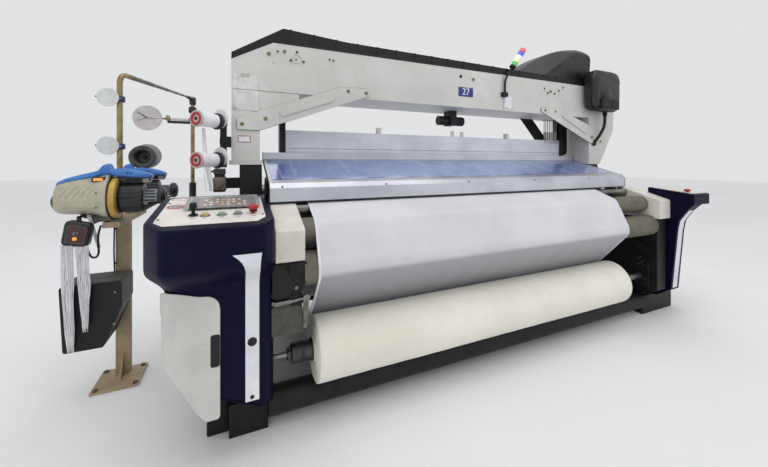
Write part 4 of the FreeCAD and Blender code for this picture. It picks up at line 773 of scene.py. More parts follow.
piece("number_plate", plate(0.250, 0.388, 1.765, 1.836, GIRDER_Y - 0.0002, 0.002, 0.003), plate_blue)
digit_curve = bpy.data.curves.new("number", "FONT")
digit_curve.body = "27"
digit_curve.size, digit_curve.extrude = 0.075, 0.0004
digit_curve.align_x, digit_curve.align_y = "CENTER", "CENTER"
digit_object = bpy.data.objects.new("number_source", digit_curve)
bpy.context.scene.collection.objects.link(digit_object)
bpy.context.view_layer.update()
digit_mesh = bpy.data.meshes.new_from_object(
    digit_object.evaluated_get(bpy.context.evaluated_depsgraph_get()))
digit_points = np.array([v.co for v in digit_mesh.vertices])
digit_faces = [list(p.vertices) for p in digit_mesh.polygons]
bpy.data.objects.remove(digit_object)
placed = np.stack([0.319 + digit_points[:, 0] * 0.95, GIRDER_Y - 0.0026 - digit_points[:, 2],
    1.8005 + digit_points[:, 1]], 1)
piece("number_digits", (placed, digit_faces), ink_white)
sheet_x = np.linspace(-1.328, -1.188, 30)
sheet_z = np.linspace(1.556, 1.762, 40)
curl = (0.0016 + 0.0012 * np.sin(sheet_z[:, None] * 40) + 0.005 * np.clip((1.60 - sheet_z[:, None]) / 0.05, 0,
    1) * np.clip((sheet_x[None] + 1.23) / 0.04, 0, 1))
grid = np.stack(np.broadcast_arrays(sheet_x[None], GIRDER_Y - curl, sheet_z[:, None]), -1)
note = piece("taped_note", skin(grid), paper, closed=False, smooth=80)
thick = note.modifiers.new("thickness", "SOLIDIFY")
thick.thickness = 0.0003
tape = finish("tape_clear", "#c9c7bd", "#bcb9ae", patch=0.03, rough=0.25, grain=0.002, depth=0.00005,
    Alpha=0.6)
piece("note_tape", [plate(-1.285, -1.235, 1.752, 1.772, GIRDER_Y - 0.0042, 0.0003, 0.002),
    plate(-1.330, -1.306, 1.560, 1.575, GIRDER_Y - 0.0042, 0.0003, 0.002)], tape)
piece("label_white", plate(-1.302, -1.232, 1.370, 1.410, GIRDER_Y - 0.0002, 0.0006, 0.006), ink_white)
piece("label_border", frame_of(-1.302, -1.232, 1.370, 1.410, GIRDER_Y - 0.0009, 0.0042), ink_red)
tag_points = np.array([(0.712, 1.712), (0.786, 1.700), (0.790, 1.800), (0.716, 1.812)])
piece("hanging_tag", slab(tag_points, 1, GIRDER_Y - 0.0016, GIRDER_Y - 0.0004, 0.0003), ink_white)
piece("girder_seam", brick((0.6955, GIRDER_Y - 0.0006, 1.690), (0.6985, GIRDER_Y + 0.001, 1.968)), dull_steel)
seams = [brick((-1.3345, GIRDER_Y - 0.0006, 1.678), (-1.17, GIRDER_Y - 0.0002, 1.6805))]
piece("post_seams", seams, dull_steel)
fold_low = [brick((-1.165, GIRDER_Y - 0.0035, 1.6795), (1.755, GIRDER_Y - 0.0002, 1.6845), 0.001)]
piece("girder_fold", fold_low, grey_sheet)
GUSSETS = {"left": ([(-1.306, 1.512), (-1.306, 1.444), (-1.180, 1.444), (-0.482, 1.703), (-0.496, 1.752),
    (-0.690, 1.741)], [(-1.072, 1.556), (-1.060, 1.527), (-0.734, 1.648), (-0.728, 1.680)],
    [(-1.278, 1.477), (-1.150, 1.514), (-0.636, 1.721), (-0.509, 1.720)]),
    "right": ([(1.118, 1.702), (1.128, 1.735), (1.330, 1.735), (1.930, 1.555), (1.954, 1.466), (1.872, 1.430),
    (1.762, 1.442)], [(1.370, 1.690), (1.382, 1.665), (1.700, 1.520), (1.712, 1.546)],
    [(1.169, 1.713), (1.296, 1.710), (1.783, 1.497), (1.907, 1.456)])}
for name, (outline, rib, bolts) in GUSSETS.items():
    shade = np.mean(outline, 0) + (np.array(outline) - np.mean(outline, 0)) * (1.003, 1.012)
    piece(f"gusset_plate_{name}", slab(rounded(outline, 0.012), 1, -0.1900, -0.1840), grey_sheet,
        replaces=(f"gusset_{name}",), slot="cream_paint", bevel=0.0010)
    # A dark slab a little larger than each plate, just behind it: painted shadow round the plate's edges.
    piece(f"gusset_painted_shadow_{name}", slab(rounded(shade, 0.012), 1, -0.1842, -0.1803), dark_hole)
    piece(f"gusset_rib_{name}", slab(rounded(rib, 0.008), 1, -0.1985, -0.1895, 0.0030), grey_sheet,
        bevel=0.0020)
    piece(f"gusset_screws_{name}", sum([screw(x, z, 0.0095, -0.1900) for x, z in bolts], []), brass_screw,
        smooth=30)
web = [(-1.185, 1.6775), (-0.953, 1.6775), (-0.953, 1.622), (-1.075, 1.585), (-1.185, 1.545)]
piece("girder_web", slab(web, 1, -0.1795, -0.1755, 0.0006), grey_sheet, bevel=0.0008)

# --- black tray lid and hood ---
lid_low, lid_high = corners("girder_lid")
top_line = np.array([(-1.335, 1.891), (-1.045, 2.073), (-0.635, 2.047), (1.795, 2.021), (2.085, 1.976)])
fin_x = np.arange(-1.00, 1.70, 0.145)
fin_z = np.interp(fin_x, top_line[:, 0], top_line[:, 1])
base_z = np.interp(fin_x, [-1.105, 2.085], [1.976, 1.976])
fins = [slab([(x - 0.006, b + 0.004), (x + 0.006, b + 0.004), (x + 0.006, t + 0.003), (x - 0.006, t + 0.003)],
    1, lid_low[1] - 0.004, lid_high[1] + 0.003, 0.002) for x, b, t in zip(fin_x, base_z, fin_z)]
piece("lid_fins", fins, abs_black, bevel=0.0015)
edge_x = np.linspace(-1.10, 2.06, 60)
edge_path = np.stack([edge_x, np.full(60, -0.1785), np.full(60, 1.9795)], 1)
piece("lid_rim", tube(edge_path, 0.005, 10), abs_black)
left_rim = np.array([(-1.335, -0.1785, 1.856), (-1.107, -0.1785, 1.9795)])
piece("lid_rim_left", tube(np.linspace(left_rim[0], left_rim[1], 12), 0.005, 10), abs_black)
hood_low, hood_high = corners("hood")


def hood_skin(rows=120, columns=90):
    """Rings up the hood: the left end runs up in a long curve and the right end in a round shoulder. The left
    part of the front falls back behind a slanted crease, and the rest is stepped in slats that lean out
    towards their tops."""
    share = np.sin(np.linspace(0, 1, rows) * math.pi / 2)[:, None] ** 1.1
    z = 1.985 + (hood_high[2] - 0.006 - 1.985) * share
    left = 0.897 + 0.700 * (1 - (1 - share) ** 0.59)
    right = 1.800 + 0.028 * share - 0.150 * (1 - np.sqrt(np.maximum(1
        - np.clip((share - 0.70) / 0.30, 0, 1) ** 2, 0)))
    u = np.linspace(0, 1, columns)[None]
    x = left + (right - left) * u
    crease = 1.130 + (z - 1.990) * 1.55
    behind = np.clip(crease - x, 0, 1)
    slat = np.mod((z - 2.005) / 0.056, 1.0)
    inner = np.clip((x - crease - 0.020) / 0.012, 0, 1) * np.clip((right - 0.030 - x) / 0.012, 0, 1)
    inner = inner * np.clip((z - 2.005) / 0.004, 0, 1) * np.clip((2.285 - z) / 0.004, 0, 1)
    step = inner * (0.016 - 0.014 * np.clip(slat / 0.93, 0, 1))
    side = np.minimum(x - left, right - x)
    turn_in = 0.030 * (1 - np.sqrt(np.maximum(1 - (1 - np.clip(side / 0.030, 0, 1)) ** 2, 0)))
    over = 0.045 * np.clip((share - 0.80) / 0.20, 0, 1) ** 2
    front = hood_low[1] + 0.006 + behind * 0.42 + step + turn_in + over
    back = np.broadcast_to(hood_high[1] - over, front.shape)
    ahead = np.stack(np.broadcast_arrays(x, front, z), -1)
    return skin(np.concatenate([ahead, np.stack(np.broadcast_arrays(x, back, z), -1)[:, ::-1]], 1),
        wrap_v=True, cap=True)


# The hood is polished ABS: it mirrors the room softly on its long slope.
hood_black = finish("abs_black_polished", "#151518", "#232328", patch=0.09, rough=0.30, grain=0.01,
    depth=0.0006, Specular_IOR_Level=0.5)
piece("hood_cover", hood_skin(), hood_black, replaces=("hood",), slot="black_plastic", smooth=32)

# --- harness motor, its conduit, signal lamp ---
motor_low, motor_high = corners("harness_motor")


def bag_shell(rows=56, columns=88):
    """A rounded box as a superellipsoid, with long soft creases pushed into its sides."""
    u = np.linspace(-math.pi / 2 + 0.001, math.pi / 2 - 0.001, rows)[:, None]
    v = np.linspace(-math.pi, math.pi, columns, endpoint=False)[None]

    def power(wave, p):
        return np.sign(wave) * np.abs(wave) ** p
    x = power(np.cos(u), 0.42) * power(np.cos(v), 0.36)
    z = power(np.cos(u), 0.42) * power(np.sin(v), 0.36)
    y = power(np.sin(u), 0.5) * np.ones_like(v)
    crease = 0.018 * np.sin(9 * z + 4 * x * np.sin(3 * z)) * np.exp(-((np.abs(x) - 0.7) / 0.5) ** 2)
    crease = crease + 0.012 * np.sin(14 * x + 3 * z) * np.clip(-z, 0, 1)
    centre = np.array([(motor_low[0] + motor_high[0]) / 2, -0.2575, 1.9175])
    grid = np.stack([x * (0.190 - 0.004) * (1 + crease), y * 0.0725 * (1 + 2 * crease),
        z * (0.1875 - 0.003) * (1 + crease)], -1)
    return skin(centre + grid, wrap_v=True, cap=True)


piece("motor_cover", bag_shell(), vinyl, replaces=("harness_motor",), slot="black_plastic", smooth=180)
seam_turn = np.linspace(0, 2 * math.pi, 80)
sx = np.sign(np.cos(seam_turn)) * np.abs(np.cos(seam_turn)) ** 0.36
sz = np.sign(np.sin(seam_turn)) * np.abs(np.sin(seam_turn)) ** 0.36
seam_path = np.stack([1.830 + sx * 0.189, np.full(80, -0.2575 - 0.022), 1.9175 + sz * 0.187], 1)
piece("motor_piping", tube(seam_path, 0.0035, 8), abs_black)
piece("motor_plug", [slab(rounded([(1.700, 1.742), (1.945, 1.742), (1.945, 1.838), (1.700, 1.838)], 0.012), 1,
    -0.3480, -0.3000, 0.006), brick((1.842, -0.3505, 1.752), (1.850, -0.3400, 1.826), 0.001)], abs_black,
    bevel=0.003)
piece("motor_bulge", lathe([(0.0, 0.066), (0.012, 0.062), (0.022, 0.050), (0.029, 0.032), (0.032, 0.010)],
    (1.778, -0.3240, 1.880), (0, -1, 0), 40), vinyl, smooth=80)
piece("motor_neck", [brick((1.740, -0.190, 1.760), (1.920, -0.1805, 1.960), 0.002),
    lathe([(1.698, 0.017), (1.700, 0.020), (1.712, 0.020), (1.714, 0.022), (1.735, 0.022)],
    (1.900, -0.240, 0), (0, 0, 1), 6)], cast_black)


def cord_curve(name, points, diameter, material):
    """A free cord as one NURBS spline of order 3 through its route."""
    data = bpy.data.curves.new(name, "CURVE")
    data.dimensions = "3D"
    data.bevel_depth = diameter / 2
    data.bevel_resolution = 5
    data.use_fill_caps = True
    line = data.splines.new("NURBS")
    line.points.add(len(points) - 1)
    line.points.foreach_set("co", np.append(np.array(points), np.ones((len(points), 1)), 1).ravel())
    line.order_u = 3
    line.use_endpoint_u = True
    line.resolution_u = 16
    data.materials.append(material)
    thing = bpy.data.objects.new(name, data)
    bpy.context.scene.collection.objects.link(thing)
    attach(thing, "loom")
    return thing


conduit_route = [(1.900, -0.240, 1.700), (1.900, -0.240, 1.610), (1.860, -0.236, 1.545),
    (1.822, -0.220, 1.480), (1.822, -0.190, 1.448)]
conduit = cord_curve("motor_conduit_hose", conduit_route, 0.026, abs_black)
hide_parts("motor_conduit")
piece("conduit_boot", lathe([(0, 0.030), (0.006, 0.030), (0.009, 0.024), (0.016, 0.022), (0.018, 0.019)],
    (1.822, -0.1802, 1.4425), (0, -1, 0.18), 32), abs_black)
cable_route = [(-1.971, -0.040, 0.916), (-1.978, -0.060, 0.880), (-1.972, -0.078, 0.826),
    (-1.966, -0.084, 0.774), (-1.984, -0.080, 0.750), (-2.012, -0.072, 0.766), (-2.022, -0.066, 0.8173)]
cable = cord_curve("sensor_lead", cable_route, 0.010, abs_black)
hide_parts("sensor_cable")

stem_path = bent([(0.697, -0.200, 1.829), (0.697, -0.200, 1.930), (0.775, -0.200, 2.037)], 0.04)
piece("lamp_stem", [tube(stem_path, 0.0085, 16), brick((0.671, -0.209, 1.791), (0.724, -0.1805, 1.829),
    0.003)], abs_black, replaces=("signal_lamp",), bevel=0.002)
lamp_axis = (math.cos(math.radians(54)), 0, math.sin(math.radians(54)))
lamp_base = np.array([0.770, -0.200, 2.030])
piece("lamp_socket", lathe([(0, 0.012), (0.001, 0.016), (0.010, 0.0255), (0.022, 0.0262), (0.024, 0.024)],
    lamp_base, lamp_axis, 36), abs_black)
for k, (name, colour) in enumerate((("green", "#2fb457"), ("amber", "#e4df9a"), ("white", "#e9ecee"),
        ("blue", "#3b55c8"), ("red", "#e0476a"))):
    h = 0.024 + k * 0.0375
    lens = finish(f"lens_{name}", colour, colour, patch=0.02, rough=0.12, grain=0.003, depth=0.0001,
        Coat_Weight=0.6, Emission_Color=linear(colour), Emission_Strength=0.22, Subsurface_Weight=0.0)
    heights = h + np.linspace(0.001, 0.0355, 15)
    ribbed = np.stack([heights, 0.0252 - 0.0006 * (np.arange(15) % 2)], 1)
    piece(f"lamp_{name}", lathe(np.vstack([[(h, 0.0235)], ribbed, [(h + 0.0370, 0.0235)]]), lamp_base,
        lamp_axis, 36), lens, smooth=60)
piece("lamp_cap", lathe([(0.2112, 0.0235), (0.2115, 0.0255), (0.217, 0.0225), (0.2205, 0.012),
    (0.2212, 0.002)], lamp_base, lamp_axis, 36), disc_pale)

# --- left console: panel, stripe, latch ---
TILT = math.radians(7.9)
panel_origin = np.array([-1.395, -0.870, 1.000])
panel_up = np.array([0, -math.sin(TILT), math.cos(TILT)])
panel_back = np.array([0, math.cos(TILT), math.sin(TILT)])


def on_panel(mesh):
    """Moves a mesh from the panel's own frame (across, back, up) to its place on the sloping top."""
    points, faces = mesh
    points = np.asarray(points, float)
    return (panel_origin + points[:, :1] * (1, 0, 0) + points[:, 1:2] * panel_back + points[:, 2:] * panel_up,
        faces)


def pad(x0, x1, y0, y1, z0, z1, corner=0.006):
    """A flat tile with rounded corners in the panel's frame."""
    turn = np.linspace(0, math.pi / 2, 6)
    spots = [np.stack([cx + corner * np.cos(turn + k * math.pi / 2), cy + corner
        * np.sin(turn + k * math.pi / 2)], 1) for k, (cx, cy) in enumerate(((x1 - corner, y1 - corner),
        (x0 + corner, y1 - corner), (x0 + corner, y0 + corner), (x1 - corner, y0 + corner)))]
    return on_panel(slab(np.vstack(spots), 2, z0, z1, min(0.0004, (z1 - z0) / 3)))


def on_top(profile, x, y, sides=32):
    points, faces = lathe(profile, (x, y, 0), (0, 0, 1), sides)
    return on_panel((points, faces))


piece("screen_bezel", pad(-0.108, 0.173, 0.257, 0.468, 0.0119, 0.0123, 0.010),
    finish("bezel_grey", "#3a3a3d", "#4a494b", patch=0.05, rough=0.3, grain=0.002, depth=0.00004))
screen_glass = finish("lit_screen", "#5a3527", "#7c4a30", patch=0.07, rough=0.18, grain=0.004, depth=0.00002,
    Emission_Color=linear("#7a4228"), Emission_Strength=0.35)
piece("screen_glass", pad(-0.070, 0.145, 0.285, 0.445, 0.0123, 0.01235, 0.003), screen_glass)
icon_white = finish("screen_icons_white", "#e8d6cf", "#d9c3bb", patch=0.01, rough=0.3, grain=0.002,
    depth=0.00001, Emission_Color=linear("#f0dcd4"), Emission_Strength=0.6)
icon_pink = finish("screen_icons_pink", "#e87f7c", "#e06c5a", patch=0.01, rough=0.3, grain=0.002,
    depth=0.00001, Emission_Color=linear("#f08a80"), Emission_Strength=0.6)
icon_amber = finish("screen_icons_amber", "#e0a640", "#d6962f", patch=0.01, rough=0.3, grain=0.002,
    depth=0.00001, Emission_Color=linear("#e8a83c"), Emission_Strength=0.6)
tiles = {"white": [], "pink": [], "amber": []}
for row, y in enumerate((0.318, 0.362, 0.408)):
    for k, x in enumerate(np.linspace(-0.052, 0.118, 8)):
        kind = "pink" if row == 2 and 3 <= k <= 4 else "amber" if row < 2 and 3 <= k <= 4 else "white"
        if (row * 8 + k) % 3 != 2 or kind != "white":
            tiles[kind].append(pad(x, x + 0.013, y, y + 0.017, 0.01236, 0.01242, 0.003))
for kind, finish_of in (("white", icon_white), ("pink", icon_pink), ("amber", icon_amber)):
    piece(f"screen_tiles_{kind}", tiles[kind], finish_of)
flap_frame = [pad(-0.124, 0.189, 0.2615, 0.2695, 0.0157, 0.0172, 0.0035),
    pad(-0.124, 0.189, 0.481, 0.489, 0.0157, 0.0172, 0.0035), pad(-0.124, -0.116, 0.2615, 0.489, 0.0157,
    0.0172, 0.0035), pad(0.181, 0.189, 0.2615, 0.489, 0.0157, 0.0172, 0.0035)]
rim_clear = finish("polycarbonate_rim", "#a9adac", "#95999a", patch=0.05, rough=0.2, grain=0.003,
    depth=0.00005, Alpha=0.75)
piece("flap_rim", flap_frame, rim_clear, "flap")
piece("panel_disc", on_top([(0.004, 0.038), (0.0046, 0.0378), (0.0047, 0.037)], -0.160, 0.345, 40), red)
piece("panel_disc_ring", [on_top([(0.0047, r), (0.00505, r), (0.00506, r - 0.002), (0.0047, r - 0.0021)],
    -0.160, 0.345, 40) for r in (0.0265,)], ink_white)
piece("panel_label", pad(-0.196, -0.120, 0.462, 0.502, 0.004, 0.0044, 0.006), ink_white)
piece("panel_label_border", [pad(-0.196, -0.120, 0.462, 0.466, 0.0044, 0.0047, 0.0015),
    pad(-0.196, -0.120, 0.498, 0.502, 0.0044, 0.0047, 0.0015), pad(-0.196, -0.192, 0.462, 0.502, 0.0044,
    0.0047, 0.0015), pad(-0.124, -0.120, 0.462, 0.502, 0.0044, 0.0047, 0.0015)], ink_red)
piece("panel_screws", [on_top([(0.004, 0.0065), (0.0055, 0.006), (0.0065, 0.003)], x, y, 16) for x,
    y in ((-0.196, 0.410), (-0.196, 0.150), (0.194, 0.495), (0.194, 0.150))], dull_steel)
bezel_metal = finish("button_bezel", "#8d8f8e", "#77797a", patch=0.03, rough=0.3, metal=0.5, grain=0.002,
    depth=0.00004)
piece("button_bezels", [on_top([(0.004, 0.0205), (0.0065, 0.0205), (0.0085, 0.0185), (0.0085, 0.0135),
    (0.004, 0.0133)], x, y, 32) for x, y in ((-0.032, 0.172), (0.031, 0.172), (0.094, 0.174))], bezel_metal)
piece("stop_collar", on_top([(0.0135, 0.0170), (0.0150, 0.0170), (0.019, 0.0155), (0.0195, 0.0125),
    (0.0135, 0.0125)], 0.156, 0.178, 36), abs_black)
piece("toggle_boot", on_top([(0.0075, 0.0185), (0.0095, 0.0185), (0.0110, 0.0165), (0.0110, 0.0105),
    (0.008, 0.0105)], -0.077, 0.182, 32), abs_black)
piece("panel_captions", [pad(x - 0.009, x + 0.009, 0.136, 0.141, 0.004, 0.0042, 0.001)
    for x in (-0.077, -0.032, 0.031, 0.094, 0.156)], dark_hole)
# --- left console shell and door ---
def eased(value, low, high):
    """0 below low, 1 above high, with a smooth rise between."""
    t = np.clip((value - low) / (high - low), 0, 1)
    return t * t * (3 - 2 * t)


def shell_front(z):
    """Y of the console's front face at a height: upright on the column, then swelling out to the overhang."""
    return -0.780 - 0.090 * eased(z, 0.735, 0.850)


def console_ring(z, inset=0.0):
    """The console's plan at a height: both front corners cut, the left side swelling out above the door."""
    over = float(eased(z, 0.722, 0.822))
    front, left, right = float(shell_front(z)) + inset, -1.572 - 0.063 * over + inset, -1.156 - inset
    cut_l, cut_r = 0.045 + 0.030 * over, 0.034 + 0.020 * over
    return rounded([(right, -0.345), (right, front + cut_r * 1.3), (right - cut_r, front),
        (left + cut_l, front), (left, front + cut_l * 1.5), (left, -0.345)], 0.026 - inset * 0.5)


def door_low(s):
    """Height of the door's lower edge at a distance round from its right edge: its front lower corner is
    cut."""
    rise = np.clip((s - 0.050) / 0.135, 0, 1)
    return DOOR_LOW + 0.215 * (0.6 * rise + 0.4 * eased(rise, 0, 1))


def lifted(ring, z):
    """A ring of the shell at a height, drawn up on its left so that its foot stays behind the door's cut
    corner."""
    x, y = ring.T
    round_s = np.clip(-1.3675 - x, 0, 0.30) + np.where(x < -1.50, np.clip(y + 0.78, 0, 0.30), 0)
    share = np.clip((0.72 - z) / (0.72 - 0.215), 0, None)
    return np.column_stack([ring, z + share * (door_low(round_s) - DOOR_LOW) * (z < 0.72)])


def console_shell():
    """Rings from the foot of the column to the tilted top, whose rim is rounded and stands round the
    panel."""
    levels = np.concatenate([[0.217, 0.222], np.linspace(0.25, 0.72, 12), np.linspace(0.735, 0.86, 22),
        [0.90, 0.95]])
    rings = [lifted(console_ring(z), z) for z in levels]
    for inset, sink in ((0.0, 0.016), (0.0006, 0.010), (0.003, 0.005), (0.007, 0.0022), (0.012, 0.0015)):
        flat = console_ring(0.95, inset)
        top = 1.000 + (flat[:, 1] + 0.870) * math.tan(math.radians(7.9)) + 0.0045 - sink
        rings.append(np.column_stack([flat, top]))
    return skin(np.array(rings), wrap_v=True, cap=True)


DOOR_LOW = 0.218
piece("console_shell", console_shell(), navy, replaces=("console_left",), slot="navy_shell", smooth=50)
hem = [lifted(console_ring(0.3, -0.0015), z) for z in (0.216, 0.222)]
piece("console_hem", skin(np.array(hem), wrap_v=True, cap=True), navy)
foot_turn = rounded([(-1.432, -0.575), (-1.338, -0.575), (-1.338, -0.450), (-1.432, -0.450)], 0.010)
piece("console_foot", [slab(foot_turn, 2, 0.0, 0.2160, 0.004), brick((-1.426, -0.5790, 0.030),
    (-1.356, -0.5730, 0.190), 0.002)], cast_black, bevel=0.002)
panel_line = np.array([(-0.2060, 0.113), (-0.1675, 0.060), (0.1680, 0.058), (0.2040, 0.112), (0.2040, 0.500),
    (0.190, 0.514), (-0.192, 0.514), (-0.2060, 0.500)])
piece("panel_plate", on_panel(slab(rounded(panel_line, 0.007), 2, 0.0000, 0.0040, 0.0008)), laminate,
    replaces=("console_panel",), slot="panel_white")
gasket = panel_line + np.sign(panel_line - (0, 0.28)) * 0.0022
piece("panel_gasket", on_panel(slab(rounded(gasket, 0.008), 2, 0.0000, 0.0034, 0.0004)), dark_hole)


def door_face(rows=70, columns=110):
    """The door as one bent sheet: along the front, round the cut corner and back along the left side. Its
    upper right corner is round, its lower corner is cut, and a shallow step runs down beside the side."""
    path = bent([(-1.3675, -0.787, 0), (-1.540, -0.787, 0), (-1.590, -0.712, 0), (-1.590, -0.516, 0)],
        0.034)[:, :2]
    along = np.append(0, np.cumsum(np.linalg.norm(np.diff(path, axis=0), axis=1)))
    s = np.linspace(0, along[-1], columns)
    x, y = np.interp(s, along, path[:, 0]), np.interp(s, along, path[:, 1])
    ahead = np.gradient(np.stack([x, y], 1), axis=0)
    ahead /= np.linalg.norm(ahead, axis=1)[:, None]
    corner, small = 0.055, 0.012
    drop = corner - np.sqrt(np.maximum(corner ** 2 - np.clip(corner - s, 0, corner) ** 2, 0))
    top = 0.7175 - drop + 0.026 * eased(s, 0.05, 0.17) - 0.066 * eased(s, 0.19, 0.42)
    lift = small - np.sqrt(np.maximum(small ** 2 - np.clip(small - s, 0, small) ** 2, 0))
    low = door_low(s) + lift
    v = np.linspace(0, 1, rows)[:, None]
    z = low + (top - low) * v
    push = -0.0045 * eased(s, 0.198, 0.214) * eased(-z, -0.652, -0.628)
    grid = np.zeros((rows, columns, 3))
    grid[..., 0] = x - ahead[:, 1] * push
    grid[..., 1] = y + ahead[:, 0] * push
    grid[..., 2] = z
    return skin(grid)


door = piece("door_skin", door_face(), door_grey, "door", replaces=("console_door",), slot="white_door",
    closed=False, smooth=50)
thick = door.modifiers.new("thickness", "SOLIDIFY")
thick.thickness = 0.0060
thick.offset = 1
thick = door.modifiers.new("rim", "BEVEL")
thick.width = 0.0012
thick.segments = 2
thick.limit_method = "ANGLE"
piece("door_latch", [plate(-1.4020, -1.3680, 0.430, 0.560, -0.7868, 0.0016, 0.009),
    plate(-1.3960, -1.3740, 0.440, 0.550, -0.7884, 0.0012, 0.007)], dark_hole, "door", bevel=0.0006)

# White stripe down the front of the column, flared at the top, and its two dark ports.
front_y = -0.780
drop = np.linspace(0, 1, 40)
right_edge = -1.219 + 0.006 * np.clip((0.10 - drop) / 0.10, 0, 1) ** 2
left_edge = -1.2730 - 0.048 * np.clip((0.14 - drop) / 0.14, 0, 1) ** 2.6
z_line = 0.892 - drop * (0.892 - 0.252)


rows = []
for edge, out in ((left_edge, 0.0), (right_edge, 0.0), (right_edge, 0.0022), (left_edge, 0.0022)):
    rows.append(np.stack([edge, shell_front(z_line) - out, z_line], 1))
piece("console_stripe", skin(np.stack(rows, 1), wrap_v=True, cap=True), stripe_white, smooth=60)
piece("stripe_ports", [lathe([(0, 0.0185), (0.0012, 0.0185), (0.0016, 0.016)],
    (-1.2465, front_y - 0.0022, 0.500), (0, -1, 0), 36), lathe([(0, 0.0085), (0.0012, 0.0085),
    (0.0016, 0.007)], (-1.2465, front_y - 0.0022, 0.268), (0, -1, 0), 24)], dark_hole)

# --- right console stripe ---
drop = np.linspace(0, 1, 40)
slope_y = np.interp(drop, [0, 0.72, 0.86, 1.0], [-0.7640, -0.8030, -0.8150, -0.8700])
slope_z = np.interp(drop, [0, 0.72, 0.86, 1.0], [0.240, 0.712, 0.789, 0.878])
rows = [np.stack([np.full(40, x), slope_y - out, slope_z - out * 0.4], 1) for x,
    out in ((1.925, 0.0008), (1.985, 0.0008), (1.985, 0.0032), (1.925, 0.0032))]
piece("slim_stripe", skin(np.stack(rows, 1), wrap_v=True, cap=True), stripe_white)

# --- weft feeders: shell, blade, drum and nose ---
FEED_X, FEED_Z = -2.185, 1.060
SHELL = np.array([(0.020, 0.050, 0.052, 0.058), (0.026, 0.064, 0.066, 0.076), (0.040, 0.072, 0.074, 0.090),
    (0.070, 0.078, 0.080, 0.100), (0.120, 0.082, 0.083, 0.112), (0.175, 0.085, 0.085, 0.120),
    (0.200, 0.090, 0.089, 0.124), (0.225, 0.100, 0.100, 0.128), (0.240, 0.105, 0.104, 0.130),
    (0.2495, 0.105, 0.104, 0.130), (0.2505, 0.100, 0.100, 0.126)])


def oval(wave, power):
    return np.sign(wave) * np.abs(wave) ** power


def shell_skin(y0, rows=110, columns=120):
    """The feeder's shell: oval sections that grow along X, narrower above, with slanted flutes and two long
    grooves pressed into its sides."""
    h = np.interp(np.linspace(0, 1, rows), np.linspace(0, 1, len(SHELL)), SHELL[:, 0])[:, None]
    wide, under, over = (np.interp(h, SHELL[:, 0], SHELL[:, k]) for k in (1, 2, 3))
    turn = np.linspace(0, 2 * math.pi, columns, endpoint=False)[None]
    c, s = oval(np.cos(turn), 0.72), oval(np.sin(turn), 0.66)
    y = wide * c * (1 - 0.30 * np.clip(s, 0, 1) ** 3)
    z = np.where(s > 0, over, under) * s
    inside = np.clip((z + 0.004) / 0.012, 0, 1) * np.clip((0.078 - z + (h - 0.13) * 0.2) / 0.014, 0, 1)
    inside = inside * np.clip((h - 0.055) / 0.02, 0, 1) * np.clip((0.200 - h) / 0.02, 0, 1)
    flutes = sum(np.exp(-((h - z * 0.75 - at) / 0.0065) ** 2) for at in (0.050, 0.078, 0.106, 0.134, 0.160))
    arch = 0.052 + 0.045 * np.sin(np.clip((h - 0.045) / 0.19, 0, 1) * math.pi / 2)
    ledge = np.exp(-((z - arch) / 0.003) ** 2) * np.clip((h - 0.045) / 0.01, 0,
        1) * np.clip((0.235 - h) / 0.01, 0, 1)
    long_groove = (np.exp(-((z + 0.022) / 0.004) ** 2) + np.exp(-((z + 0.046) / 0.003) ** 2)) \
        * np.clip((h - 0.045) / 0.01, 0, 1) * np.clip((0.165 - h) / 0.01, 0, 1)
    press = 0.0075 * inside * flutes + 0.0035 * ledge + 0.0030 * long_groove
    y = y - np.sign(c) * press
    grid = np.stack(np.broadcast_arrays(FEED_X + h, y0 + y, FEED_Z + z), -1)
    return skin(grid, wrap_v=True, cap=True)


BLADE = np.array([(0.024, 0.062, 0.086, 0.026), (0.030, 0.066, 0.093, 0.034), (0.060, 0.082, 0.109, 0.040),
    (0.120, 0.099, 0.129, 0.043), (0.175, 0.108, 0.143, 0.043), (0.196, 0.112, 0.151, 0.043),
    (0.214, 0.116, 0.178, 0.040), (0.238, 0.120, 0.187, 0.038), (0.246, 0.123, 0.184, 0.038),
    (0.254, 0.124, 0.160, 0.042), (0.262, 0.118, 0.157, 0.043), (0.300, 0.112, 0.161, 0.043),
    (0.350, 0.108, 0.154, 0.043), (0.400, 0.106, 0.142, 0.041), (0.428, 0.106, 0.132, 0.036),
    (0.440, 0.110, 0.124, 0.022)])


def blade_skin(y0, rows=120, columns=48):
    """The blade on top of the feeder: a thin oval strip that rises into a fin over the ring."""
    h = np.interp(np.linspace(0, 1, rows), np.linspace(0, 1, len(BLADE)), BLADE[:, 0])[:, None]
    low_z, high_z, wide = (np.interp(h, BLADE[:, 0], BLADE[:, k]) for k in (1, 2, 3))
    turn = np.linspace(0, 2 * math.pi, columns, endpoint=False)[None]
    c, s = oval(np.cos(turn), 0.45), oval(np.sin(turn), 0.45)
    grid = np.stack(np.broadcast_arrays(FEED_X + h, y0 + wide * c * (1 - 0.25 * np.clip(s, 0, 1)),
        FEED_Z + (low_z + high_z) / 2 + (high_z - low_z) / 2 * s), -1)
    return skin(grid, wrap_v=True, cap=True)


def feed(h, z=0.0):
    return FEED_X + h, FEED_Z + z


def flat_ring(profile, y0, z=0.0, sides=64, ripple=None):
    return lathe([(FEED_X + h, r) for h, r in profile], (0, y0, FEED_Z + z), (1, 0, 0), sides, ripple)


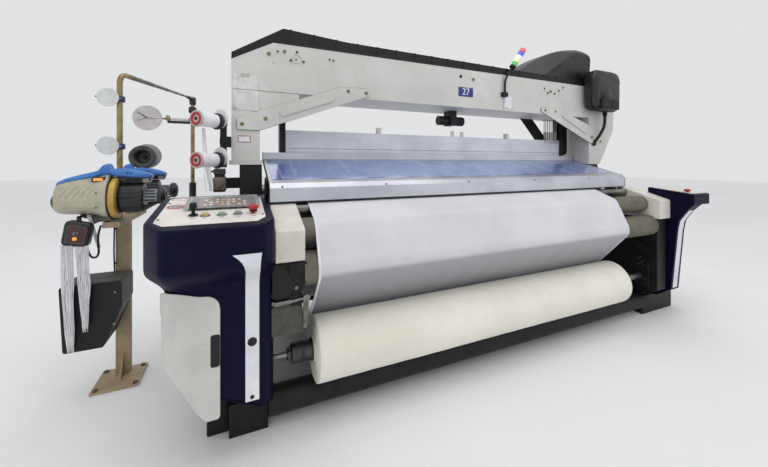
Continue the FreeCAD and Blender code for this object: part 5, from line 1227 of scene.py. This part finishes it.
drum_black = finish("drum_black", "#17181b", "#26282c", patch=0.03, rough=0.3, grain=0.002, depth=0.0001)
casting_green = finish("feeder_foot_casting", "#6f7264", "#53564c", patch=0.04, rough=0.5, grain=0.003,
    depth=0.0004, dust="#3b3a34")
for name, y0 in (("front", 0.0), ("rear", 0.400)):
    near = y0 - 0.0005
    piece(f"feeder_{name}_shell", shell_skin(y0), feeder_grey, replaces=(f"feeder_{name}",),
        slot="feeder_housing", smooth=60)
    piece(f"feeder_{name}_blade", blade_skin(y0), feeder_blue, smooth=60)
    piece(f"feeder_{name}_tail", flat_ring([(0, 0.012), (0.002, 0.026), (0.008, 0.036), (0.018, 0.043),
        (0.030, 0.046)], y0, -0.012, 48, lambda h, a: 0.0012 * np.cos(12 * a)), drum_black)
    piece(f"feeder_{name}_collar", flat_ring([(0.2495, 0.03), (0.2495, 0.106), (0.2500, 0.108),
        (0.2545, 0.108), (0.2550, 0.104), (0.2550, 0.03)], y0), drum_black)
    drum = [(0.2905, 0.031), (0.2905, 0.080), (0.292, 0.0845), (0.296, 0.0850), (0.298, 0.079),
        (0.300, 0.0775), (0.394, 0.0765), (0.399, 0.073), (0.401, 0.066), (0.401, 0.03)]
    bars = lambda h, a: np.where((h > FEED_X + 0.299) & (h < FEED_X + 0.395),
        -0.0042 * (np.cos(20 * a) > 0.25), 0)
    piece(f"feeder_{name}_drum", flat_ring([(0.253, 0.030)] + drum, y0, 0, 160, bars), drum_black, smooth=25)
    nose = [brick((FEED_X + 0.400, y0 - 0.044, FEED_Z - 0.030), (FEED_X + 0.468, y0 + 0.044, FEED_Z + 0.040),
        0.006)]
    piece(f"feeder_{name}_nose", nose, slot_grey, bevel=0.004)
    slots = [brick((FEED_X + 0.408, y0 + side * 0.0405, FEED_Z + z), (FEED_X + 0.458, y0 + side * 0.0447,
        FEED_Z + z + 0.0075), 0.001) for z in (-0.022, -0.003, 0.014, 0.029) for side in (-1, 1)]
    piece(f"feeder_{name}_slots", slots, dark_hole)
    piece(f"feeder_{name}_end", flat_ring([(0.462, 0.030), (0.464, 0.047), (0.470, 0.050), (0.488, 0.050),
        (0.496, 0.046), (0.498, 0.036), (0.5045, 0.034), (0.505, 0.020), (0.498, 0.016)], y0, 0.004),
        drum_black)
    arm = np.array([feed(*p) for p in ((0.285, -0.084), (0.396, -0.084), (0.468, -0.040), (0.500, -0.040),
        (0.500, -0.024), (0.400, -0.050), (0.285, -0.072))])
    piece(f"feeder_{name}_underarm", slab(arm, 1, y0 - 0.028, y0 + 0.028, 0.004), drum_black, bevel=0.002)
    head = np.array([feed(*p) for p in ((0.258, 0.112), (0.262, 0.094), (0.306, 0.086), (0.312, 0.079),
        (0.418, 0.079), (0.432, 0.090), (0.436, 0.112))])
    piece(f"feeder_{name}_head", slab(head, 1, y0 - 0.037, y0 + 0.037, 0.004), drum_black, bevel=0.003)
    piece(f"feeder_{name}_head_trim", [brick((FEED_X + 0.398, y0 - 0.0385, FEED_Z + 0.078),
        (FEED_X + 0.428, y0 + 0.0385, FEED_Z + 0.104), 0.003)], slot_grey, bevel=0.002)
    piece(f"feeder_{name}_head_window", [brick((FEED_X + 0.322, y0 + side * 0.0366, FEED_Z + 0.084),
        (FEED_X + 0.384, y0 + side * 0.0380, FEED_Z + 0.104), 0.0006) for side in (-1, 1)], abs_black)
    bezel = brick((FEED_X + 0.182, near - 0.072, FEED_Z + 0.088), (FEED_X + 0.240, near - 0.040,
        FEED_Z + 0.117), 0.004)
    piece(f"feeder_{name}_bezel", bezel, drum_black, bevel=0.003)
    piece(f"feeder_{name}_light", brick((FEED_X + 0.191, near - 0.0745, FEED_Z + 0.095),
        (FEED_X + 0.231, near - 0.070, FEED_Z + 0.110), 0.0012), orange, bevel=0.001)
    screws = [lathe([(0, 0.0042), (0.0012, 0.0042), (0.0022, 0.003)], (FEED_X + h, y0 - 0.0425, FEED_Z + z),
        (0, -1, 0), 16) for h, z in ((0.330, 0.136), (0.345, 0.135))]
    piece(f"feeder_{name}_blade_screws", screws, dark_hole)
    marks = [brick((FEED_X + 0.205, y0 + side * 0.0945 - 0.002, FEED_Z + z),
        (FEED_X + 0.211, y0 + side * 0.0945 + 0.002, FEED_Z + z + 0.006)) for z in (-0.045, 0.030)
        for side in (-1, 1)]
    piece(f"feeder_{name}_marks", marks, dark_hole)
    foot = [brick((FEED_X + 0.225, y0 - 0.030, 0.9295), (FEED_X + 0.252, y0 + 0.030, 0.985), 0.002),
        brick((FEED_X + 0.225, y0 - 0.030, 0.9295), (-1.890, y0 + 0.030, 0.9405), 0.002),
        slab(np.array([feed(*p) for p in ((0.110, -0.070), (0.215, -0.070), (0.250, -0.106), (0.250, -0.128),
        (0.205, -0.128), (0.190, -0.112), (0.135, -0.104))]), 1, y0 - 0.026, y0 + 0.026, 0.004),
        lathe([(0, 0.012), (0.003, 0.020), (0.060, 0.020), (0.063, 0.012)],
        (FEED_X + 0.180, y0 - 0.034, FEED_Z - 0.116), (0, 1, 0), 24)]
    piece(f"feeder_{name}_foot", foot, casting_green, bevel=0.002)
    rib = [lathe([(FEED_X + h - 0.0006, 0.104), (FEED_X + h, 0.1124 if h > 0.268 else 0.110),
        (FEED_X + h + 0.0008, 0.104)], (0, y0, FEED_Z), (1, 0, 0), 72) for h in (0.2705, 0.279)]
    piece(f"feeder_{name}_ring_lines", rib, finish(f"ring_shade_{name}", "#9a7a34", "#84682a", patch=0.05,
        rough=0.4, grain=0.002, depth=0.0001), f"ring_{name}")

# --- weft bobbins on their spindles ---
lean = math.radians(47)
spin = np.array([math.cos(lean), math.sin(lean), 0])
bobbin_shell = finish("bobbin_flange", "#b9b6ae", "#a6a39b", patch=0.03, rough=0.4, grain=0.002, depth=0.0001)
holder_grey = finish("cone_holder", "#565856", "#3f4140", patch=0.04, rough=0.35, grain=0.002, depth=0.0001,
    Metallic=0.4)


def wound(h, a):
    return 0.0005 * np.sin(h * 900 + a) + 0.0003 * np.sin(h * 2300 - 3 * a)


for name, node, body, z in (("a", "bobbin_upper", "bobbin_a", 1.480),
        ("b", "bobbin_lower", "bobbin_b", 1.265)):
    start = np.array([-1.505, -0.330, z]) + 0.008 * spin
    yarn = np.stack([np.linspace(0.012, 0.128, 60), np.interp(np.linspace(0, 1, 60), [0, 0.04, 0.5, 0.96, 1],
        [0.024, 0.0375, 0.0368, 0.0360, 0.026])], 1)
    piece(f"bobbin_{name}_yarn", lathe(np.vstack([[(0.010, 0.0065)], yarn, [(0.130, 0.0065)]]), start, spin,
        64, wound), yarn_white, body, replaces=(node,), slot="yarn", smooth=60)
    piece(f"bobbin_{name}_front", lathe([(0.002, 0.0065), (0.002, 0.030), (0, 0.040), (0.0005, 0.0432),
        (0.003, 0.0440), (0.007, 0.0440), (0.010, 0.0415), (0.011, 0.026), (0.011, 0.0065)], start, spin, 64),
        bobbin_shell, body)
    piece(f"bobbin_{name}_cap", lathe([(0.003, 0.0065), (0.0025, 0.020), (-0.001, 0.022), (-0.003, 0.030),
        (-0.0025, 0.0335), (0.001, 0.0350), (0.004, 0.0350), (0.004, 0.0065)], start, spin, 56), red, body)
    piece(f"bobbin_{name}_rear", lathe([(0.129, 0.0065), (0.129, 0.036), (0.131, 0.0435), (0.134, 0.0455),
        (0.142, 0.0455), (0.146, 0.0435), (0.146, 0.0065)], start, spin, 56), drum_black, body)
    piece(f"spindle_disc_{name}", lathe([(0.1475, 0.0065), (0.1475, 0.050), (0.149, 0.0545), (0.151, 0.0550),
        (0.152, 0.052), (0.152, 0.0065)], start + np.array([0.006, 0.0, 0.018]), spin, 56), disc_pale)
    hub = np.array([-1.505, -0.330, z])
    piece(f"spindle_tip_{name}", lathe([(0.0040, 0.0052), (0.0045, 0.0090), (0.0058, 0.0095),
        (0.0065, 0.0060)], hub, spin, 20), drum_black)
mast_x = -1.375
blocks = [brick((mast_x - 0.020, -0.217, z - 0.020), (mast_x + 0.020, -0.176, z + 0.020), 0.004)
    for z in (1.480, 1.265)]
blocks += [brick((mast_x - 0.019, -0.216, 1.352), (mast_x + 0.019, -0.176, 1.392), 0.004)]
blocks += [lathe([(0, 0.0055), (0.004, 0.0055), (0.005, 0.004)], (mast_x, -0.2168, z + off), (0, -1, 0), 6)
    for z in (1.480, 1.372, 1.265) for off in (-0.010, 0.010)]
piece("mast_blocks", blocks, cast_black, bevel=0.002)
THREADS = []
for k in range(14):
    a, b = RANDOM.uniform(0, 0.030, 2)
    t = np.linspace(0, 1, 26)
    x = -1.4760 + a * 0.5 + 0.012 * np.sin(t * 3 + k) * t + 0.030 * t ** 2 + b * t * 0.8
    y = -0.262 + 0.010 * np.sin(2 * t + k) - 0.020 * t
    THREADS.append(tube(np.stack([x, y, 1.436 - 0.335 * t], 1), 0.0009 + 0.0003 * (k % 2), 5))
piece("bobbin_threads", THREADS, yarn_white, smooth=180)
pump = [slab([(-0.3015, 1.110), (-0.296, 1.0935), (-0.182, 1.0935), (-0.182, 1.1735), (-0.296, 1.1735),
    (-0.3015, 1.160)], 0, -1.4215, -1.3605, 0.005), lathe([(1.1725, 0.020), (1.176, 0.0225), (1.186, 0.020),
    (1.188, 0.0175)], (-1.391, -0.262, 0), (0, 0, 1), 32), lathe([(0, 0.012), (0.004, 0.014), (0.012, 0.014),
    (0.014, 0.008)], (-1.391, -0.3000, 1.132), (0, -1, 0), 6)]
piece("pump_casting", pump, pump_brown, bevel=0.003)
piece("pump_head", [brick((-1.420, -0.291, 1.186), (-1.362, -0.233, 1.2195), 0.004),
    lathe([(0, 0.006), (0.010, 0.006), (0.012, 0.004)], (-1.421, -0.262, 1.204), (-1, 0, 0), 12)], drum_black,
    bevel=0.002)

# --- gate of tube over the stand, guides, disc and cone holder ---
gate_line = bent([(-1.940, 0.152, 0.930), (-1.940, 0.152, 1.780), (-1.640, 0.870, 1.780)], 0.060, 12)
leg_b = np.array([(-1.640, 0.870, z) for z in np.linspace(0.012, 1.765, 8)])
gate_dark = finish("worn_steel_rod", "#5c5650", "#8a8175", patch=0.05, rough=0.35, metal=0.8, grain=0.003,
    depth=0.0001)
piece("gate_legs", [tube(gate_line[:-1], 0.0150, 24), tube(leg_b, 0.0150, 24),
    lathe([(0.000, 0.040), (0.002, 0.044), (0.012, 0.044), (0.014, 0.040), (0.014, 0.016)],
    (-1.640, 0.870, 0), (0, 0, 1), 40)], brass, replaces=("gate_tube",), slot="brass_tube", smooth=60)
top_bar = np.linspace(gate_line[-2], (-1.640, 0.870, 1.782), 10)
piece("gate_bar", tube(top_bar, np.linspace(0.0150, 0.0070, 10), 20), gate_dark)
piece("gate_fittings", [lathe([(0.960, 0.0155), (0.960, 0.024), (0.963, 0.026), (1.087, 0.026),
    (1.090, 0.023), (1.090, 0.0155)], (-1.640, 0.870, 0), (0, 0, 1), 32),
    lathe([(1.730, 0.0155), (1.730, 0.021), (1.733, 0.024), (1.770, 0.025), (1.790, 0.022), (1.7945, 0.012)],
    (-1.640, 0.870, 0), (0, 0, 1), 32), tube([(-1.640, 0.870, 1.775), (-1.655, 0.834, 1.779),
    (-1.672, 0.793, 1.781)], [0.019, 0.016, 0.011], 20), brick((-1.667, 0.843, 1.659), (-1.613, 0.897, 1.711),
    0.006)], drum_black, bevel=0.002)
guide_navy = finish("guide_arm_blue", "#202b66", "#182152", patch=0.04, rough=0.35, grain=0.002, depth=0.0001)
for name, z in (("high", 1.631), ("low", 1.351)):
    blade_line = [(-2.052, z + 0.002), (-2.040, z - 0.008), (-1.990, z - 0.012), (-1.968, z - 0.020),
        (-1.938, z - 0.020), (-1.914, z - 0.014), (-1.910, z), (-1.914, z + 0.012), (-1.960, z + 0.012),
        (-2.000, z + 0.012), (-2.036, z + 0.012)]
    eyes = [lathe([(0.012, 0.0028), (0.012, 0.0075), (0.020, 0.0078), (0.023, 0.006), (0.023, 0.0028)],
        (x, 0.134, z), (0, 0, 1), 20) for x in (-2.034, -2.006)]
    piece(f"guide_{name}_arm", [slab(blade_line, 1, 0.1225, 0.1440, 0.003),
        lathe([(z - 0.020, 0.0152), (z - 0.020, 0.024), (z - 0.017, 0.0265), (z + 0.011, 0.0265),
        (z + 0.014, 0.024), (z + 0.014, 0.0152)], (-1.940, 0.152, 0), (0, 0, 1), 36)] + eyes, guide_navy,
        bevel=0.002, **({"replaces": ("yarn_holders",), "slot": "panel_white"} if name == "high" else {}))
    piece(f"guide_{name}_disc", lathe([(0.001, 0.004), (0.001, 0.046), (0.0, 0.0515), (0.0008, 0.053),
        (0.0035, 0.053), (0.006, 0.050), (0.006, 0.004)], (-1.988, 0.1165, z), (0, 1, 0), 64), disc_pale)
    piece(f"guide_{name}_screw", lathe([(0, 0.0062), (0.003, 0.0062), (0.004, 0.0045)],
        (-1.930, 0.1222, z - 0.004), (0, -1, 0), 20), steel)
disc_lilac = finish("far_disc", "#cfc9cc", "#c2bcbf", patch=0.05, rough=0.35, grain=0.003, depth=0.00005)
piece("far_disc", lathe([(0.001, 0.004), (0.001, 0.090), (0, 0.095), (0.001, 0.097), (0.005, 0.097),
    (0.006, 0.094), (0.006, 0.004)], (-1.940, 0.810, 1.600), (0, 1, 0), 80), disc_lilac)
centre = np.array([-1.940, 0.806, 1.600])
piece("far_disc_wires", [tube([centre, centre + (dx, 0, dz)], 0.0012, 8) for dx,
    dz in ((0.075, -0.004), (-0.062, -0.022))], dull_steel)
piece("far_disc_pointer", tube([centre, centre + (-0.060, -0.001, 0.042)], [0.0034, 0.0022], 12), drum_black)
piece("far_rod", [tube([(-1.850, 0.819, 1.600), (-1.618, 0.819, 1.600)], 0.0058, 16)], drum_black)
piece("far_clamp", [brick((-1.822, 0.804, 1.586), (-1.790, 0.834, 1.616), 0.005),
    lathe([(0, 0.007), (0.010, 0.007), (0.012, 0.005)], (-1.813, 0.819, 1.616), (0, 0, 1), 6),
    lathe([(0, 0.007), (0.010, 0.007), (0.012, 0.005)], (-1.798, 0.819, 1.616), (0, 0, 1), 6),
    brick((-1.662, 0.810, 1.585), (-1.618, 0.892, 1.615), 0.003)], brass, bevel=0.002)
piece("far_bar", [brick((-1.808, 0.806, 1.566), (-1.650, 0.832, 1.587), 0.003)], drum_black, bevel=0.001)
piece("far_bar_top", [brick((-1.786, 0.806, 1.592), (-1.664, 0.832, 1.610), 0.003)], disc_pale, bevel=0.001)
cone_at = (-1.896, 0.455, 1.290)
piece("cone_holder", lathe([(0.066, 0.002), (0.064, 0.034), (0.006, 0.046), (0.0015, 0.0500), (0, 0.054),
    (0, 0.071), (0.002, 0.0780), (0.008, 0.0800), (0.030, 0.0795), (0.056, 0.073), (0.071, 0.066),
    (0.072, 0.002)], cone_at, (0, 1, 0), 80), holder_grey, smooth=50)
piece("cone_holder_core", lathe([(0.030, 0.004), (0.031, 0.012), (0.064, 0.013)], cone_at, (0, 1, 0), 24),
    dark_hole)
piece("cone_disc", lathe([(0.524, 0.004), (0.524, 0.078), (0.522, 0.083), (0.524, 0.085), (0.529, 0.085),
    (0.530, 0.080), (0.530, 0.004)], (-1.880, 0, 1.299), (0, 1, 0), 80), disc_lilac)
piece("cone_peg", lathe([(0.928, 0.013), (0.940, 0.013), (0.942, 0.0082), (1.216, 0.0082)],
    (-1.896, 0.530, 0), (0, 0, 1), 24), drum_black)

# --- sensor head, yarn tails, hopper, stand ---
head = np.array([(-2.116, 0.836), (-2.008, 0.814), (-1.989, 0.935), (-2.096, 0.962)])
middle = head.mean(0)


def shrunk(share, shift=(0, 0)):
    return middle + shift + (head - middle) * share


piece("sensor_head", [slab(rounded(head, 0.024), 1, -0.108, -0.058, 0.005),
    slab(rounded(shrunk(0.86), 0.018), 1, -0.1115, -0.105, 0.002), brick((-2.056, -0.092, 0.945),
    (-2.040, -0.074, 0.9765), 0.002), brick((-2.056, -0.092, 0.9655), (-2.040, 0.004, 0.9765), 0.002)],
    drum_black, replaces=("sensor_box",), slot="black_plastic", bevel=0.001)
piece("sensor_face", slab(rounded(shrunk(0.66), 0.008), 1, -0.1128, -0.1110, 0.0005), sensor_brown)
outer, inner = rounded(shrunk(0.70), 0.009), rounded(shrunk(0.665), 0.008)
border = np.stack([np.stack([ring[:, 0], np.full(len(ring), y), ring[:, 1]], 1) for ring,
    y in ((outer, -0.1112), (outer, -0.1131), (inner, -0.1131), (inner, -0.1112))])
piece("sensor_border", skin(border.transpose(1, 0, 2), wrap_u=True, wrap_v=True),
    finish("sensor_border", "#6f6560", "#5b524d", patch=0.02, rough=0.4, grain=0.002, depth=0.00005))
light_at = (-2.056, -0.1128, 0.866)
piece("sensor_light_ring", lathe([(0, 0.013), (0.001, 0.013), (0.0015, 0.0115)], light_at, (0, -1, 0), 32),
    dark_hole)
piece("sensor_light", lathe([(0.0012, 0.0100), (0.0020, 0.0098), (0.0032, 0.0070), (0.0036, 0.001)], light_at,
    (0, -1, 0), 32), orange)
piece("sensor_marks", [brick((x, -0.1134, z), (x + 0.004, -0.1126, z + 0.0025)) for x,
    z in ((-2.060, 0.897), (-2.064, 0.888), (-2.048, 0.893))], ink_white)


def tail_strands(name, top, middle_x, foot, count, top_z, low_z, options):
    """A hank of loose yarn: many thin strands that run together as they hang, each with its own slow
    waver."""
    strands = []
    for k in range(count):
        share = (k + 0.5) / count
        t = np.linspace(0, 1, 34)
        edge = np.interp(t, [0, 0.5, 1], [top[0] + share * (top[1] - top[0]),
            middle_x[0] + share * (middle_x[1] - middle_x[0]), foot[0] + share * (foot[1] - foot[0])])
        waver = 0.0022 * np.sin(t * RANDOM.uniform(5, 14) + RANDOM.uniform(0, 6)) * np.sin(math.pi * t) ** 0.5
        depth = -0.103 + 0.0035 * math.sin(k * 2.4) + 0.0025 * np.sin(t * 7 + k)
        z = top_z + (low_z + RANDOM.uniform(-0.02, 0.05) - top_z) * t
        strands.append(tube(np.stack([edge + waver, np.broadcast_to(depth, 34), z], 1),
            RANDOM.uniform(0.0011, 0.0022), 6))
    piece(name, strands, yarn_white, smooth=180, **options)


tail_strands("yarn_tail_left", (-2.117, -2.064), (-2.108, -2.062), (-2.086, -2.062), 40, 0.834, 0.300,
    {"replaces": ("yarn_tails",), "slot": "yarn"})
tail_strands("yarn_tail_right", (-2.058, -2.005), (-2.048, -1.996), (-2.026, -2.008), 40, 0.826, 0.400, {})
behind = [tube(np.stack([np.linspace(-2.020, -1.978, 14) + a, np.full(14, -0.048 + b),
    np.linspace(0.975, 0.800, 14)], 1), 0.0018, 6) for a, b in RANDOM.uniform(-0.007, 0.007, (16, 2))]
piece("yarn_lead", behind, yarn_white, smooth=180)
grey_dust = finish("hopper_top_dust", "#4b4d47", "#393b37", patch=0.08, rough=0.6, grain=0.003, depth=0.0002)
piece("hopper_top", slab([(-2.120, -0.070), (-1.883, -0.070), (-1.883, 0.124), (-2.120, 0.124)], 2, 0.6175,
    0.6192, 0.0008), grey_dust)
piece("hopper_screws", [lathe([(0, 0.0052), (0.0016, 0.0052), (0.0026, 0.0035)], (x, -0.0775, z), (0, -1, 0),
    16) for x, z in ((-1.900, 0.560), (-1.905, 0.392))], brass_screw)
piece("column_clip", [brick((-1.9585, 0.128, z), (-1.948, 0.140, z + 0.010), 0.001) for z in (0.66, 0.86)]
    + [tube([(-1.9585, 0.127, 0.62), (-1.9605, 0.124, 0.74), (-1.9585, 0.127, 0.925)], 0.0042, 12)],
    drum_black)
bolts = [lathe([(0.012, 0.013), (0.020, 0.013), (0.022, 0.010)], (x, y, 0), (0, 0, 1), 6)
    for x in (-2.010, -1.830) for y in (0.0, 0.180)]
piece("stand_bolts", bolts, rust)

# --- cloth-end machinery on the left drive box and behind the right console ---
box_front = -0.7455
rods = [lathe([(0, 0.008), (0.002, 0.0105), (0.072, 0.0105), (0.076, 0.0075), (0.098, 0.0075),
    (0.100, 0.006)], (-1.158, box_front - 0.010, 0.6270), (1, 0, 0.05), 24),
    lathe([(0, 0.0145), (0.004, 0.0165), (0.012, 0.0165), (0.014, 0.0135)],
    (-1.018, box_front - 0.013, 0.6400), (0, -1, 0), 24), lathe([(0, 0.006), (0.050, 0.006), (0.052, 0.0045)],
    (-1.066, box_front - 0.012, 0.6340), (1, 0, 0.06), 20), lathe([(0, 0.008), (0.006, 0.010),
    (0.010, 0.008)], (-1.060, box_front - 0.001, 0.6880), (0, -1, 0), 24),
    lathe([(0, 0.008), (0.005, 0.0095), (0.008, 0.006)], (-1.160, box_front + 0.001, 0.6650), (0, -1, 0), 20),
    lathe([(0, 0.008), (0.005, 0.0095), (0.008, 0.006)], (-1.160, box_front + 0.001, 0.6280), (0, -1, 0), 20)]
piece("drive_rods", rods, steel)
lever = slab(rounded([(-1.030, 0.634), (-1.004, 0.634), (-1.014, 0.500), (-1.030, 0.500)], 0.006), 1,
    box_front - 0.012, box_front - 0.001, 0.002)
piece("drive_lever", [lever], casting_green, bevel=0.001)
hatch = [slab(rounded([(-1.165, 0.800), (-1.118, 0.800), (-1.060, 0.700), (-1.092, 0.650), (-1.165, 0.650)],
    0.008), 1, box_front - 0.010, box_front + 0.002, 0.002), slab(rounded([(-1.100, 0.655), (-1.030, 0.650),
    (-1.030, 0.612), (-1.075, 0.602), (-1.100, 0.620)], 0.006), 1, box_front - 0.006, box_front + 0.002,
    0.002), slab(rounded([(-1.092, 0.800), (-1.010, 0.800), (-1.010, 0.716), (-1.040, 0.672),
    (-1.092, 0.690)], 0.010), 1, box_front - 0.005, box_front + 0.002, 0.002)]
piece("drive_castings", hatch, cast_black, bevel=0.002)
casting_dull = finish("drive_housing", "#4d4b44", "#3a3934", patch=0.05, rough=0.5, grain=0.003, depth=0.0005,
    dust="#6a5a50", dust_share=(0.55, 0.75))
piece("drive_housing", [slab(rounded([(-1.168, 0.612), (-1.095, 0.618), (-1.032, 0.600), (-1.026, 0.482),
    (-1.168, 0.482)], 0.008), 1, box_front - 0.004, box_front + 0.002, 0.002)], casting_dull, bevel=0.002)
side_x = 1.7585
brackets = [slab(rounded([(-0.700, 0.560), (-0.560, 0.640), (-0.520, 0.600), (-0.640, 0.480)], 0.02), 0,
    side_x - 0.018, side_x + 0.002, 0.004), slab(rounded([(-0.690, 0.430), (-0.560, 0.430), (-0.540, 0.250),
    (-0.690, 0.230)], 0.02), 0, side_x - 0.012, side_x + 0.002, 0.004)]
piece("side_castings", brackets, cast_black, bevel=0.003)
glints = [lathe([(0, 0.006), (0.070, 0.006), (0.072, 0.004)], (side_x - 0.030, -0.662, 0.452),
    (0.1, 0.75, -0.62), 14), lathe([(0, 0.006), (0.050, 0.006), (0.052, 0.004)],
    (side_x - 0.034, -0.650, 0.486), (0.1, 0.75, -0.62), 14), lathe([(0, 0.010), (0.022, 0.010),
    (0.024, 0.007)], (side_x - 0.036, -0.668, 0.310), (1, 0, 0), 20),
    lathe([(0, 0.009), (0.020, 0.009), (0.022, 0.006)], (side_x - 0.024, -0.655, 0.420), (1, 0, 0), 6),
    lathe([(0, 0.009), (0.020, 0.009), (0.022, 0.006)], (side_x - 0.024, -0.690, 0.690), (1, 0, 0), 6)]
piece("side_bolts", glints, steel)
rod_a, rod_b = np.array([1.700, -0.560, 0.690]), np.array([1.440, -0.520, 0.520])
piece("brace_rod", [tube(np.linspace(rod_a, rod_b, 8), [0.018, 0.018, 0.018, 0.024, 0.024, 0.022, 0.020,
    0.016], 20), brick((1.690, -0.590, 0.660), (1.7605, -0.530, 0.720), 0.006)], casting_dull, bevel=0.001)

low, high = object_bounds()
